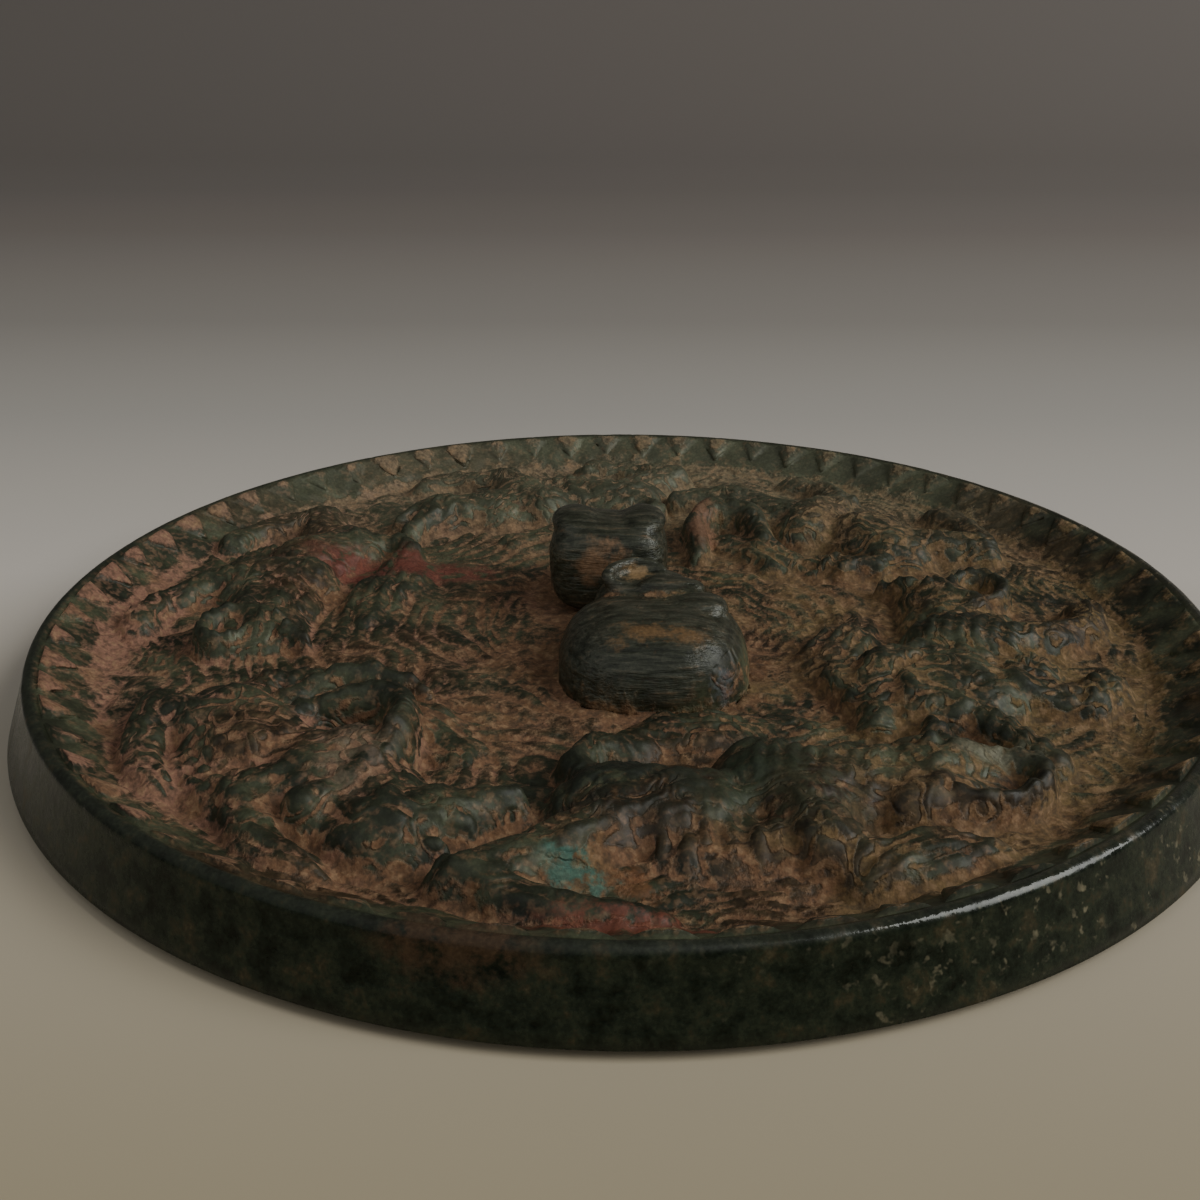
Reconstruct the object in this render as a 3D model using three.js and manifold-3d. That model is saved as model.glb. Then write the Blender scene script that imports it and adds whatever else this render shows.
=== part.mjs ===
// A cast bronze mirror lying on its reflecting face, back up. The knob is a crouching beast with a cord hole
// under its back, six beasts run round it in high relief, and saw teeth stand on the slope inside the rim.
// Millimetres, +Z up. The origin is the middle of the reflecting face, on the surface the mirror lies on.
// The knob beast lies along Y with its head towards +Y, and the cord hole runs along X.
import * as THREE from "three";
import { mergeVertices } from "three/addons/utils/BufferGeometryUtils.js";
import Module from "manifold-3d";

// Disc and rim.
const rimRadius = 53.4; // outer edge of the rim's top
const rimHeight = 6.6; // top of the rim above the surface below
const rimTopWidth = 0.9; // narrow flat band on top of the rim
const rimRounding = 0.4; // rounding of the rim's outer edge
const wallFlare = 1.8; // how much wider the reflecting face is than the rim's top
const slopeWidth = 5.2; // slope from the rim's top band down to the field
const fieldThickness = 3.5; // metal under the field that carries the relief
const faceFlatRadius = 30; // flat middle of the slightly convex reflecting face
const faceRise = 0.4; // how far the face's edge stands off the surface
const faceChamfer = 0.4; // worn edge between face and wall

// Saw teeth on the slope, points towards the middle.
const toothCount = 66;
const toothLength = 3.4;
const toothHeight = 0.55;
const toothInset = 0.5; // from the rim's top band to the foot of the teeth

// Ring of running beasts.
const beastCount = 6;
const firstBeastAngle = 287; // degrees, counterclockwise from +X
const ringInnerRadius = 16.5; // the beasts lie between this circle and the foot of the slope
const reliefHeight = 3.7; // highest point of a beast above the field
const blendWidth = 0.7; // how softly one form of a beast runs into the next
const slackness = 1.15; // how far the foot of each form spreads beyond its own width

// Knob beast.
const knobLength = 32;
const knobShift = -3; // middle of the knob along Y
const knobRumpWidth = 16.8;
const knobRumpLength = 15.4;
const knobRumpHeight = 6.1; // above the field
const knobRumpX = 2.6;
const knobBackHeight = 6.8; // bridge of the back over the cord hole, above the field
const knobHeadWidth = 11.5;
const knobHeadHeight = 8.9; // above the field, without the brows
const knobHeadX = -1.5;
const cordHoleWidth = 5.4;
const cordHoleHeight = 5.4; // above the field

// Mesh grain, the edge length of a facet.
const reliefGrain = 1.6;
const plainGrain = 3.4;

const faceRadius = rimRadius + wallFlare;
const rimTopRadius = rimRadius - rimRounding;
const slopeTopRadius = rimRadius - rimTopWidth;
const fieldRadius = slopeTopRadius - slopeWidth;
const ringRadius = (ringInnerRadius + fieldRadius) / 2;
const beastLength = (2 * Math.PI * ringRadius) / beastCount;

const lerp = (a, b, t) => a + (b - a) * t;
const clamp = (x, low, high) => Math.min(high, Math.max(low, x));
const softMax = (a, b, softness) => {
  const width = Math.min(softness, a, b);
  if (width <= 0) return Math.max(a, b);
  const near = clamp(0.5 + (0.5 * (a - b)) / width, 0, 1);
  return lerp(b, a, near) + width * near * (1 - near);
};

// A limb is a chain of rounded strokes through points (along, out) in shares of the beast's length: along is the
// way the beast runs and out points to the rim. Widths are half widths in the same shares, rises are shares of
// reliefHeight.
function limb(points, widths, rises) {
  return points.slice(0, -1).map((from, i) => ({
    from,
    to: points[i + 1],
    width: [widths[i], widths[i + 1]],
    rise: [rises[i], rises[i + 1]],
  }));
}
const dome = (at, width, rise) => limb([at, [at[0] + 0.001, at[1]]], [width, width], [rise, rise]);
const offset = (at, along, out) => [at[0] + along, at[1] + out];

// Points round an ellipse between two angles in degrees, 270 being towards the middle of the mirror.
function arc(at, halfAlong, halfOut, start, end, steps = 9) {
  return Array.from({ length: steps + 1 }, (_, k) => {
    const turn = THREE.MathUtils.degToRad(lerp(start, end, k / steps));
    return offset(at, halfAlong * Math.cos(turn), halfOut * Math.sin(turn));
  });
}

// A leg from the body over the joint to the paw, which spreads at its end.
const leg = (top, joint, paw, thigh) =>
  limb(
    [top, joint, paw, offset(paw, 0.07, 0.02)],
    [thigh, thigh * 0.75, thigh * 0.6, thigh * 0.75],
    [0.8, 0.64, 0.52, 0.5],
  );

// A tail that leaves the rump, rises towards the middle of the mirror and curls forward.
function tail(hip, lift) {
  const root = offset(hip, -0.1, -0.06);
  const bend = offset(hip, -0.17, -0.14);
  const rise = offset(hip, -0.13, -0.19 - lift);
  const tuft = offset(hip, 0, -0.22 - lift);
  return limb([root, bend, rise, tuft], [0.06, 0.055, 0.055, 0.075], [0.6, 0.55, 0.5, 0.42]);
}

// A broad head seen from above, with the open mouth towards the rim as a ring round a hollow, a nose and an ear.
function broadHead(at, size) {
  const mouth = offset(at, 0.22 * size, 0.46 * size);
  return [
    ...dome(at, size, 0.8),
    ...dome(offset(at, -0.55 * size, 0.22 * size), size * 0.42, 0.84),
    ...dome(mouth, 0.72 * size, 0.8),
    ...dome(offset(at, 0.12 * size, -0.4 * size), size * 0.3, 0.9),
    ...limb(
      [offset(at, 0.5 * size, -0.6 * size), offset(at, 0.9 * size, -0.95 * size)],
      [0.26 * size, 0.16 * size],
      [0.7, 0.5],
    ),
  ];
}

// A long head in profile that points the way the beast runs, jaws a little open, with an ear laid back.
function longHead(at, size) {
  const snout = offset(at, 1.5 * size, -0.55 * size);
  const jaw = offset(at, 1.2 * size, 0.25 * size);
  const ear = offset(at, -1.1 * size, -0.95 * size);
  return [
    ...dome(at, size * 1.1, 0.8),
    ...limb([offset(at, 0, -0.15 * size), snout], [size * 0.8, size * 0.36], [0.86, 0.6]),
    ...limb([offset(at, 0, 0.5 * size), jaw], [size * 0.45, size * 0.28], [0.66, 0.5]),
    ...limb([offset(at, -0.2 * size, -0.6 * size), ear], [size * 0.4, size * 0.22], [0.75, 0.5]),
  ];
}

// The forms of one running beast, its back towards the middle of the mirror: body, neck, belly fringe, legs, tail,
// head and the low cloud that trails between its back and the knob.
function beast(pose) {
  const { hip, shoulder, head, knee, foot, elbow, paw } = pose;
  const { broad = true, size = 0.17, lift = 0.04, rise = 0.86 } = pose;
  const waist = [(hip[0] + shoulder[0]) / 2, (hip[1] + shoulder[1]) / 2 - 0.01];
  const neck = [(shoulder[0] + head[0]) / 2, (shoulder[1] + head[1]) / 2 - 0.03];
  const cloud = [
    offset(hip, -0.08, -0.28),
    offset(waist, -0.04, -0.32),
    offset(waist, 0.12, -0.3),
    offset(neck, 0.06, -0.28),
  ];
  return [
    ...limb([offset(hip, -0.06, -0.01), offset(hip, 0.06, 0.02)], [0.15, 0.16], [rise, rise + 0.04]),
    ...limb([hip, waist, shoulder], [0.14, 0.12, 0.14], [0.8, 0.6, 0.8]),
    ...limb([offset(shoulder, -0.02, -0.05), offset(shoulder, 0.02, 0.06)], [0.14, 0.13], [rise + 0.04, rise]),
    ...limb([shoulder, neck, head], [0.15, 0.15, 0.13], [0.8, 0.72, 0.76]),
    ...limb([offset(waist, -0.05, 0.16), offset(waist, 0.07, 0.17)], [0.11, 0.11], [0.42, 0.42]),
    ...limb(cloud, [0.08, 0.11, 0.11, 0.08], [0.2, 0.32, 0.34, 0.22]),
    ...leg(offset(hip, -0.06, 0.07), knee, foot, 0.1),
    ...leg(offset(shoulder, 0, 0.08), elbow, paw, 0.1),
    ...tail(hip, lift),
    ...(broad ? broadHead(head, size) : longHead(head, size * 0.75)),
  ];
}

// The beast nearest the front, with a long curved paw and an outstretched hind leg.
const nearBeast = () => [
  ...beast({
    hip: [-0.235, 0.07], shoulder: [0.05, 0.07], head: [0.35, 0.21], knee: [-0.5, 0.39], foot: [-0.37, 0.45],
    elbow: [0.045, 0.3], paw: [0.1, 0.42], size: 0.185,
  }),
  ...limb([[0.09, 0.41], [0.17, 0.4], [0.24, 0.47]], [0.07, 0.08, 0.05], [0.55, 0.52, 0.42]),
  ...limb([[-0.37, 0.45], [-0.25, 0.47]], [0.055, 0.05], [0.5, 0.42]),
];

// The beast at the right: hair swept back over its rump and two straight hind legs.
const longLeggedBeast = () => [
  ...beast({
    hip: [-0.33, -0.02], shoulder: [0, 0], head: [0.28, 0], knee: [-0.236, 0.152], foot: [-0.19, 0.33],
    elbow: [0.05, 0.2], paw: [0.14, 0.34],
  }),
  ...limb(
    [[-0.56, -0.06], [-0.42, -0.16], [-0.3, -0.17], [-0.15, -0.1], [0, -0.04]],
    [0.06, 0.08, 0.09, 0.08, 0.05],
    [0.5, 0.75, 0.85, 0.75, 0.5],
  ),
  ...limb([[-0.39, 0.13], [-0.46, 0.34]], [0.06, 0.05], [0.62, 0.45]),
];

// The beast behind the knob, its neck bent back in a tall arch.
const rearingBeast = () => [
  ...beast({
    hip: [-0.24, 0.03], shoulder: [0.02, 0], head: [0.34, 0.06], knee: [-0.4, 0.28], foot: [-0.26, 0.38],
    elbow: [0.06, 0.24], paw: [0.16, 0.36], broad: false,
  }),
  ...limb(
    [[0.24, -0.45], [0.38, -0.3], [0.36, -0.14], [0.22, -0.12], [0.04, -0.26]],
    [0.08, 0.1, 0.105, 0.1, 0.08],
    [0.45, 0.78, 0.86, 0.78, 0.5],
  ),
];

// The beast at the left: an arched ridge like a bent neck, a crest with a horn behind it and a long snout.
function archedBeast() {
  const arch = [...arc([0.055, 0.13], 0.145, 0.225, 180, 360, 10), [0.205, 0.22], [0.19, 0.33]];
  const archRise = arch.map((_, k) => (k < 2 ? 0.66 : 0.84));
  return [
    ...beast({
      hip: [-0.15, 0.2], shoulder: [0.12, 0.16], head: [0.32, 0.28], knee: [-0.3, 0.34], foot: [-0.16, 0.44],
      elbow: [0.08, 0.36], paw: [0.18, 0.45], broad: false, size: 0.12,
    }),
    ...limb(arch, arch.map(() => 0.08), archRise),
    ...limb(
      [[-0.19, 0.06], [-0.175, -0.06], [-0.12, -0.145], [-0.03, -0.195], [0.06, -0.212]],
      [0.08, 0.085, 0.08, 0.065, 0.045],
      [0.64, 0.8, 0.84, 0.66, 0.4],
    ),
    ...limb([[0.29, 0.3], [0.4, 0.19], [0.51, 0.11]], [0.09, 0.085, 0.04], [0.6, 0.78, 0.62]),
  ];
}

const beasts = [
  nearBeast(),
  longLeggedBeast(),
  rearingBeast(),
  beast({
    hip: [-0.24, 0.03], shoulder: [0.03, 0.02], head: [0.34, 0.06], knee: [-0.42, 0.26], foot: [-0.28, 0.36],
    elbow: [0.07, 0.25], paw: [0.18, 0.36], broad: false,
  }),
  beast({
    hip: [-0.2, 0.08], shoulder: [0.06, 0.1], head: [0.35, 0.08], knee: [-0.38, 0.3], foot: [-0.25, 0.4],
    elbow: [0.1, 0.28], paw: [0.2, 0.4], size: 0.15,
  }),
  archedBeast(),
].slice(0, beastCount);

// How far a stroke rises at a point given in the beast's shares.
function strokeRise({ from, to, width, rise }, along, out) {
  const [dx, dy] = [to[0] - from[0], to[1] - from[1]];
  const t = clamp(((along - from[0]) * dx + (out - from[1]) * dy) / (dx * dx + dy * dy), 0, 1);
  const reach = slackness * lerp(width[0], width[1], t);
  const off = Math.hypot(along - from[0] - t * dx, out - from[1] - t * dy) / reach;
  return off < 1 ? reliefHeight * lerp(rise[0], rise[1], t) * (1 - off ** 2.4) ** 1.3 : 0;
}

// Height of the beasts above the field at a point of the mirror's back.
function reliefAt(radius, angle) {
  let height = 0;
  for (let i = 0; i < beasts.length; i++) {
    const middle = THREE.MathUtils.degToRad(firstBeastAngle + (360 * i) / beastCount);
    const turn = Math.atan2(Math.sin(angle - middle), Math.cos(angle - middle));
    const along = (turn * ringRadius) / beastLength;
    const out = (radius - ringRadius) / beastLength;
    if (Math.abs(along) < 0.75)
      for (const stroke of beasts[i]) height = softMax(height, strokeRise(stroke, along, out), blendWidth);
  }
  return height * clamp((slopeTopRadius - toothInset - radius) / (slopeWidth - toothInset), 0, 1);
}

// Height of a saw tooth above the slope: a ridge along its middle, down to nothing at its sides and point.
function toothAt(radius, angle) {
  const foot = slopeTopRadius - toothInset;
  const along = (foot - radius) / toothLength;
  if (along < 0 || along > 1) return 0;
  const across = Math.abs(((((angle / (2 * Math.PI)) * toothCount) % 1) + 1) % 1 - 0.5) * 2;
  return toothHeight * Math.max(0, 1 - across - along);
}

// One closed skin from rings of points. Each ring has its own radius, height and number of points, and neighbouring
// rings are stitched by taking whichever next point comes first round the circle.
function ringSkin(rings, lift) {
  const positions = [];
  const starts = rings.map(({ radius, z, count }) => {
    const start = positions.length / 3;
    for (let i = 0; i < count; i++) {
      const angle = (2 * Math.PI * i) / count;
      positions.push(radius * Math.cos(angle), radius * Math.sin(angle), z + lift(radius, angle, z));
    }
    return start;
  });
  const faces = [];
  for (let k = 0; k + 1 < rings.length; k++) {
    const [a, b] = [rings[k].count, rings[k + 1].count];
    for (let i = 0, j = 0; i < a || j < b; ) {
      const inner = starts[k] + (i % a);
      const outer = starts[k + 1] + (j % b);
      const stepOuter = i >= a || (j < b && (j + 1) / b <= (i + 1) / a);
      if (stepOuter) faces.push(inner, outer, starts[k + 1] + (++j % b));
      else faces.push(inner, outer, starts[k] + (++i % a));
    }
  }
  const whole = faces.filter((_, n) => {
    const t = n - (n % 3);
    return faces[t] !== faces[t + 1] && faces[t + 1] !== faces[t + 2] && faces[t] !== faces[t + 2];
  });
  return new THREE.BufferGeometry()
    .setAttribute("position", new THREE.Float32BufferAttribute(positions, 3))
    .setIndex(whole);
}

// Rings between two radii, a facet apart, with heights along a straight line.
function ringRun(fromRadius, toRadius, fromZ, toZ, grain, count) {
  const steps = Math.max(1, Math.round(Math.abs(toRadius - fromRadius) / grain));
  return Array.from({ length: steps }, (_, i) => {
    const radius = lerp(fromRadius, toRadius, i / steps);
    const points = count ?? Math.max(6, Math.round((2 * Math.PI * radius) / grain));
    return { radius, z: lerp(fromZ, toZ, i / steps), count: points };
  });
}

// The disc with its rim, teeth and beasts, from the middle of the back out over the rim and round to the face.
function discGeometry() {
  const round = toothCount * 2;
  const toothTop = slopeTopRadius - toothInset;
  const slopeZ = (radius) => lerp(rimHeight, fieldThickness, (slopeTopRadius - radius) / slopeWidth);
  const rings = [
    { radius: 0, z: fieldThickness, count: 1 },
    ...ringRun(plainGrain, ringInnerRadius - 2 * reliefGrain, fieldThickness, fieldThickness, plainGrain),
    ...ringRun(ringInnerRadius - 2 * reliefGrain, fieldRadius, fieldThickness, fieldThickness, reliefGrain),
    { radius: fieldRadius, z: fieldThickness, count: round },
    { radius: toothTop - toothLength, z: slopeZ(toothTop - toothLength), count: round },
    { radius: toothTop - toothLength / 2, z: slopeZ(toothTop - toothLength / 2), count: round * 2 },
    { radius: toothTop, z: slopeZ(toothTop), count: round },
    { radius: slopeTopRadius, z: rimHeight, count: round },
    { radius: rimTopRadius, z: rimHeight, count: round },
    { radius: rimRadius, z: rimHeight - rimRounding, count: round },
    { radius: faceRadius, z: faceRise + faceChamfer, count: round },
    { radius: faceRadius - faceChamfer, z: faceRise, count: round },
    { radius: faceFlatRadius, z: 0, count: toothCount },
    { radius: 0, z: 0, count: 1 },
  ];
  const isBack = (z) => z >= fieldThickness - 1e-6;
  return ringSkin(rings, (radius, angle, z) => {
    if (!isBack(z) || radius >= slopeTopRadius) return 0;
    const slope = z - fieldThickness;
    return softMax(slope, reliefAt(radius, angle), blendWidth) - slope + toothAt(radius, angle);
  });
}

// A closed ellipsoid, squarer than a sphere along an axis where squareness is under 1.
function ellipsoid(centre, half, squareness = [1, 1, 1], across = 18, down = 11) {
  const shape = new THREE.SphereGeometry(1, across, down).rotateX(Math.PI / 2);
  const at = shape.getAttribute("position");
  const square = (x, power) => Math.sign(x) * Math.abs(x) ** power;
  for (let i = 0; i < at.count; i++)
    at.setXYZ(
      i,
      square(at.getX(i), squareness[0]) * half[0],
      square(at.getY(i), squareness[1]) * half[1],
      square(at.getZ(i), squareness[2]) * half[2],
    );
  return shape.translate(...centre);
}

// The knob: a beast crouching with its rump to the front, its back bridging the cord hole and its head raised behind,
// turned a little to the left, with two brows.
function knobGeometries() {
  const floor = fieldThickness;
  const front = knobShift - knobLength / 2;
  const back = knobShift + knobLength / 2;
  const rumpY = front + knobRumpLength / 2;
  const holeY = front + knobRumpLength + 0.18 * cordHoleWidth;
  const headY = holeY + cordHoleWidth / 2 + 0.42 * knobHeadWidth;
  const headHalf = knobHeadWidth / 2;
  const headTop = floor + knobHeadHeight;
  const rumpHalf = [knobRumpWidth / 2, knobRumpLength / 2, knobRumpHeight + 0.3];
  const lumpHalf = [0.29 * knobRumpWidth, 0.88 * cordHoleWidth, 0.5 * knobBackHeight];
  const napeHalf = [0.66 * headHalf, 0.5 * headHalf, 0.26 * knobHeadHeight];
  const soft = [0.8, 0.8, 0.8];
  const plain = [1, 1, 1];
  const browHalf = [0.4 * headHalf, 0.62 * headHalf, 1.3];
  const brows = [-1, 1].map((side) => {
    const browX = knobHeadX + side * 0.56 * headHalf;
    return ellipsoid([browX, headY + 0.1 * headHalf, headTop - 0.75], browHalf, plain, 10, 7);
  });
  const pawHalf = [0.36 * headHalf, 2.8, 1.7];
  const paws = [-1, 1].map((side) =>
    ellipsoid([knobHeadX + side * 0.62 * headHalf, back - 2.8, floor + 0.4], pawHalf, plain, 10, 7),
  );
  const headBlock = [headHalf, 0.84 * headHalf, 0.51 * knobHeadHeight];
  const chestHalf = [1.04 * headHalf, 4.6, 3];
  return {
    holeY,
    shapes: [
      ellipsoid([knobRumpX, rumpY, floor - 0.3], rumpHalf, [0.76, 0.76, 0.8], 20, 14),
      ellipsoid([knobRumpX - 0.6, holeY - 1.6, floor + 0.5 * knobBackHeight], lumpHalf, [0.9, 0.9, 0.9]),
      ellipsoid([knobHeadX, headY, floor + 0.47 * knobHeadHeight], headBlock, [0.58, 0.6, 0.6]),
      ellipsoid([knobHeadX, headY + 0.9 * headHalf, floor + 0.45 * knobHeadHeight], napeHalf, soft, 14, 9),
      ellipsoid([knobHeadX, back - 4.6, floor + 0.8], chestHalf, soft, 14, 8),
      ...brows,
      ...paws,
    ],
  };
}

// The cord hole's tool: an arch with a flat floor on the field, through the knob from side to side.
function cordHoleGeometry(holeY) {
  const half = cordHoleWidth / 2;
  const straight = cordHoleHeight - half;
  const arch = new THREE.Shape();
  arch.moveTo(-half, 0);
  arch.lineTo(half, 0);
  arch.lineTo(half, straight);
  arch.absarc(0, straight, half, 0, Math.PI, false);
  const reach = knobRumpWidth * 1.5;
  const tool = new THREE.ExtrudeGeometry(arch, { depth: reach, bevelEnabled: false, curveSegments: 8 });
  return tool
    .translate(0, 0, -reach / 2)
    .rotateX(Math.PI / 2)
    .rotateZ(Math.PI / 2)
    .translate(0, holeY, fieldThickness);
}

const wasm = await Module();
wasm.setup();

function solid(geometry) {
  const bare = geometry.clone();
  bare.deleteAttribute("normal");
  bare.deleteAttribute("uv");
  const merged = mergeVertices(bare, 1e-4);
  return new wasm.Manifold(
    new wasm.Mesh({
      numProp: 3,
      vertProperties: merged.getAttribute("position").array,
      triVerts: new Uint32Array(merged.index.array),
    }),
  );
}

function geometryOf(manifold) {
  const mesh = manifold.getMesh();
  return new THREE.BufferGeometry()
    .setAttribute("position", new THREE.BufferAttribute(new Float32Array(mesh.vertProperties), 3))
    .setIndex(new THREE.BufferAttribute(new Uint32Array(mesh.triVerts), 1));
}

function mirrorGeometry() {
  const { holeY, shapes } = knobGeometries();
  const knob = shapes.map(solid).reduce((whole, shape) => whole.add(shape));
  const aboveFloor = new THREE.BoxGeometry(4 * knobLength, 4 * knobLength, 2 * knobHeadHeight)
    .translate(0, 0, fieldThickness / 2 + knobHeadHeight);
  const pierced = knob.intersect(solid(aboveFloor)).subtract(solid(cordHoleGeometry(holeY)));
  return geometryOf(solid(discGeometry()).add(pierced));
}

const bronze = new THREE.MeshStandardMaterial({ color: 0x3b3a2e, roughness: 0.55, metalness: 0.6 });

const mirror = new THREE.Mesh(mirrorGeometry(), bronze);
mirror.name = "mirror";

const part = new THREE.Group();
part.add(mirror);

export default part;
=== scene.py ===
# A cast bronze mirror lying on its reflecting face on a pale table, with a patina of olive green, brown and
# earth. Lengths are in millimetres until a mesh is made, and the frame of the part is kept: origin in the
# middle of the reflecting face, +Z up, the knob beast along Y with its head towards +Y.
import collections
import functools
import itertools
import math
import types

import bpy
import numpy as np
from mathutils import Matrix, Vector


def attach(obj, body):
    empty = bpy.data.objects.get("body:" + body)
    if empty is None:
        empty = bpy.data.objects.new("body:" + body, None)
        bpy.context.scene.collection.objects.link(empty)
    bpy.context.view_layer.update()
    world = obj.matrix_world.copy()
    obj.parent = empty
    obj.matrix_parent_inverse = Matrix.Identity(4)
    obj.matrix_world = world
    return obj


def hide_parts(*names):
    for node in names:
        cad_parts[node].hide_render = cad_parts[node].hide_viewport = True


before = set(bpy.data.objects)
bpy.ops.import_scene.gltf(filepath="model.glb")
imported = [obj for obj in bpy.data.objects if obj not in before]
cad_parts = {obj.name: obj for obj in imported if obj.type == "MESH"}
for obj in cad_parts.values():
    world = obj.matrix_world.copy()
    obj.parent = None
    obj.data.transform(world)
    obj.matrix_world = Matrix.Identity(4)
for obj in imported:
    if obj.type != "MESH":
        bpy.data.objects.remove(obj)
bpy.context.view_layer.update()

MM = 0.001

# Disc and rim, as in the part.
RIM_RADIUS = 53.4
RIM_HEIGHT = 6.6
RIM_TOP_WIDTH = 0.9
RIM_ROUNDING = 0.8  # worn rounder than it was cast
WALL_FLARE = 1.8
SLOPE_WIDTH = 5.2
FIELD_THICKNESS = 3.5
FACE_FLAT_RADIUS = 30.0
FACE_RISE = 0.4
FACE_CHAMFER = 0.4
FACE_RADIUS = RIM_RADIUS + WALL_FLARE
SLOPE_TOP_RADIUS = RIM_RADIUS - RIM_TOP_WIDTH
FIELD_RADIUS = SLOPE_TOP_RADIUS - SLOPE_WIDTH

# Saw teeth.
TOOTH_COUNT = 66
TOOTH_LENGTH = 3.4
TOOTH_HEIGHT = 0.55
TOOTH_INSET = 0.5
TOOTH_ROOT = 0.5  # how deep a tooth reaches into the slope

# Ring of beasts.
BEAST_COUNT = 6
FIRST_BEAST_ANGLE = 287.0
RING_INNER_RADIUS = 16.5
RELIEF_HEIGHT = 3.7
BLEND_WIDTH = 0.5
LOCK_SPACING = 1.8
LOCK_BEND_SIZE = 9.0
LOCK_PATCH_SIZE = 8.0
LOCK_HEIGHT = 0.38
CURL_SIZE = 7.0
SWELL_SIZE = 6.5
SWELL_HEIGHT = 0.6
RING_RADIUS = (RING_INNER_RADIUS + FIELD_RADIUS) / 2
BEAST_LENGTH = 2 * math.pi * RING_RADIUS / BEAST_COUNT

# Knob beast.
KNOB_LENGTH = 32.0
KNOB_SHIFT = -3.0
KNOB_RUMP_WIDTH = 16.8
KNOB_RUMP_LENGTH = 15.4
KNOB_RUMP_HEIGHT = 6.1
KNOB_RUMP_X = 2.6
KNOB_BACK_HEIGHT = 6.8
KNOB_HEAD_WIDTH = 11.5
KNOB_HEAD_HEIGHT = 8.9
KNOB_HEAD_X = -1.5
KNOB_ROOT = 1.6  # how deep the knob's mesh reaches into the disc
CORD_HOLE_WIDTH = 5.4
CORD_HOLE_HEIGHT = 5.4

# Mesh spacing.
CENTRE_SPACING = 0.6
RELIEF_SPACING = 0.37
SLOPE_SPACING = 0.45
RIM_TOP_SPACING = 0.25
RIM_SPACING = 0.45
ROUNDING_STEPS = 4
WALL_SPACING = 0.9
CHAMFER_SPACING = 0.3
FACE_SPACING = 2.6
KNOB_VOXEL = 0.32

# Weathering: how wide its lumps are and how far they move the skin.
LUMP_SIZE = 3.2
LUMP_DEPTH = 0.16
RIM_LUMP_DEPTH = 0.03
CRUST_SIZE = 1.3
CRUST_DEPTH = 0.09
PIT_SIZE = 1.1
PIT_DEPTH = 0.1


def lerp(a, b, t):
    return a + (b - a) * t


def ramp(x, low, high):
    t = np.clip((x - low) / (high - low), 0, 1)
    return t * t * (3 - 2 * t)


def lattice_value(x, y, z, seed):
    mixed = (x * 73856093) ^ (y * 19349663) ^ (z * 83492791) ^ (seed * 2971215073)
    mixed = (mixed ^ (mixed >> 13)) * 1274126177
    return ((mixed ^ (mixed >> 16)) & 0xFFFF) / 0xFFFF


def noise(points, size, seed):
    """Smooth value noise from -1 to 1 with lumps of that size."""
    cell = points / size
    base = np.floor(cell).astype(np.int64)
    part = cell - base
    part = part * part * (3 - 2 * part)
    total = np.zeros(len(points))
    for corner in itertools.product((0, 1), repeat=3):
        weight = np.prod(np.where(np.array(corner, bool), part, 1 - part), axis=1)
        total += weight * lattice_value(*(base + corner).T, seed)
    return 2 * total - 1


def layered_noise(points, size, layers, seed):
    total = sum(noise(points, size / 2**k, seed + k) / 2**k for k in range(layers))
    return total / sum(1 / 2**k for k in range(layers))


# Relief
# Masses are rounded forms, joined softly. Details are fine ridges, or furrows where negative, that ride on
# them. Both are drawn in shares of a beast's length: along the ring, counterclockwise, and out to the rim.

Stroke = collections.namedtuple("Stroke", "start end width0 width1 rise0 rise1 detail")


def soft_max(a, b, softness):
    width = np.minimum(softness, np.minimum(a, b))
    safe = np.where(width > 1e-6, width, 1)
    near = np.clip(0.5 + 0.5 * (a - b) / safe, 0, 1)
    return np.where(width > 1e-6, lerp(b, a, near) + width * near * (1 - near), np.maximum(a, b))


def chain(points, widths, rises, detail):
    return [
        Stroke(points[i], points[i + 1], widths[i], widths[i + 1], rises[i], rises[i + 1], detail)
        for i in range(len(points) - 1)
    ]


def mass(points, widths, rises):
    """A rounded form through points, as wide and as high (share of the relief's height) as given at each."""
    return chain(points, widths, rises, False)


def dome(at, width, rise):
    return mass([at, (at[0] + 0.001, at[1])], [width, width], [rise, rise])


def ridge(points, width=0.02, depth=0.35):
    """A fine line, depth in mm, that tapers at both ends."""
    last = len(points) - 1
    taper = [0.45 + 0.55 * math.sin(math.pi * k / last) for k in range(last + 1)]
    return chain(points, [width * t for t in taper], [depth * t for t in taper], True)


def pit(at, width, depth):
    return chain([at, (at[0] + 0.001, at[1])], [width, width], [-depth, -depth], True)


def offset(at, along, out):
    return (at[0] + along, at[1] + out)


def arc(at, half_along, half_out, start, end, tilt=0.0, steps=9):
    """Points round an ellipse between two angles in degrees, 270 being towards the middle of the mirror."""
    points = []
    ct, st = math.cos(tilt), math.sin(tilt)
    for k in range(steps + 1):
        turn = math.radians(lerp(start, end, k / steps))
        a, o = half_along * math.cos(turn), half_out * math.sin(turn)
        points.append(offset(at, a * ct - o * st, a * st + o * ct))
    return points


def beside(points, distance):
    """points moved sideways by distance."""
    placed = []
    for i, point in enumerate(points):
        before, after = points[max(i - 1, 0)], points[min(i + 1, len(points) - 1)]
        dx, dy = after[0] - before[0], after[1] - before[1]
        length = math.hypot(dx, dy) or 1.0
        placed.append(offset(point, -dy / length * distance, dx / length * distance))
    return placed


def locks(points, count, spacing, width=0.016, depth=0.32):
    """Fine lines side by side, as locks of hair."""
    lines = []
    for k in range(count):
        lines += ridge(beside(points, (k - (count - 1) / 2) * spacing), width, depth)
    return lines


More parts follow.
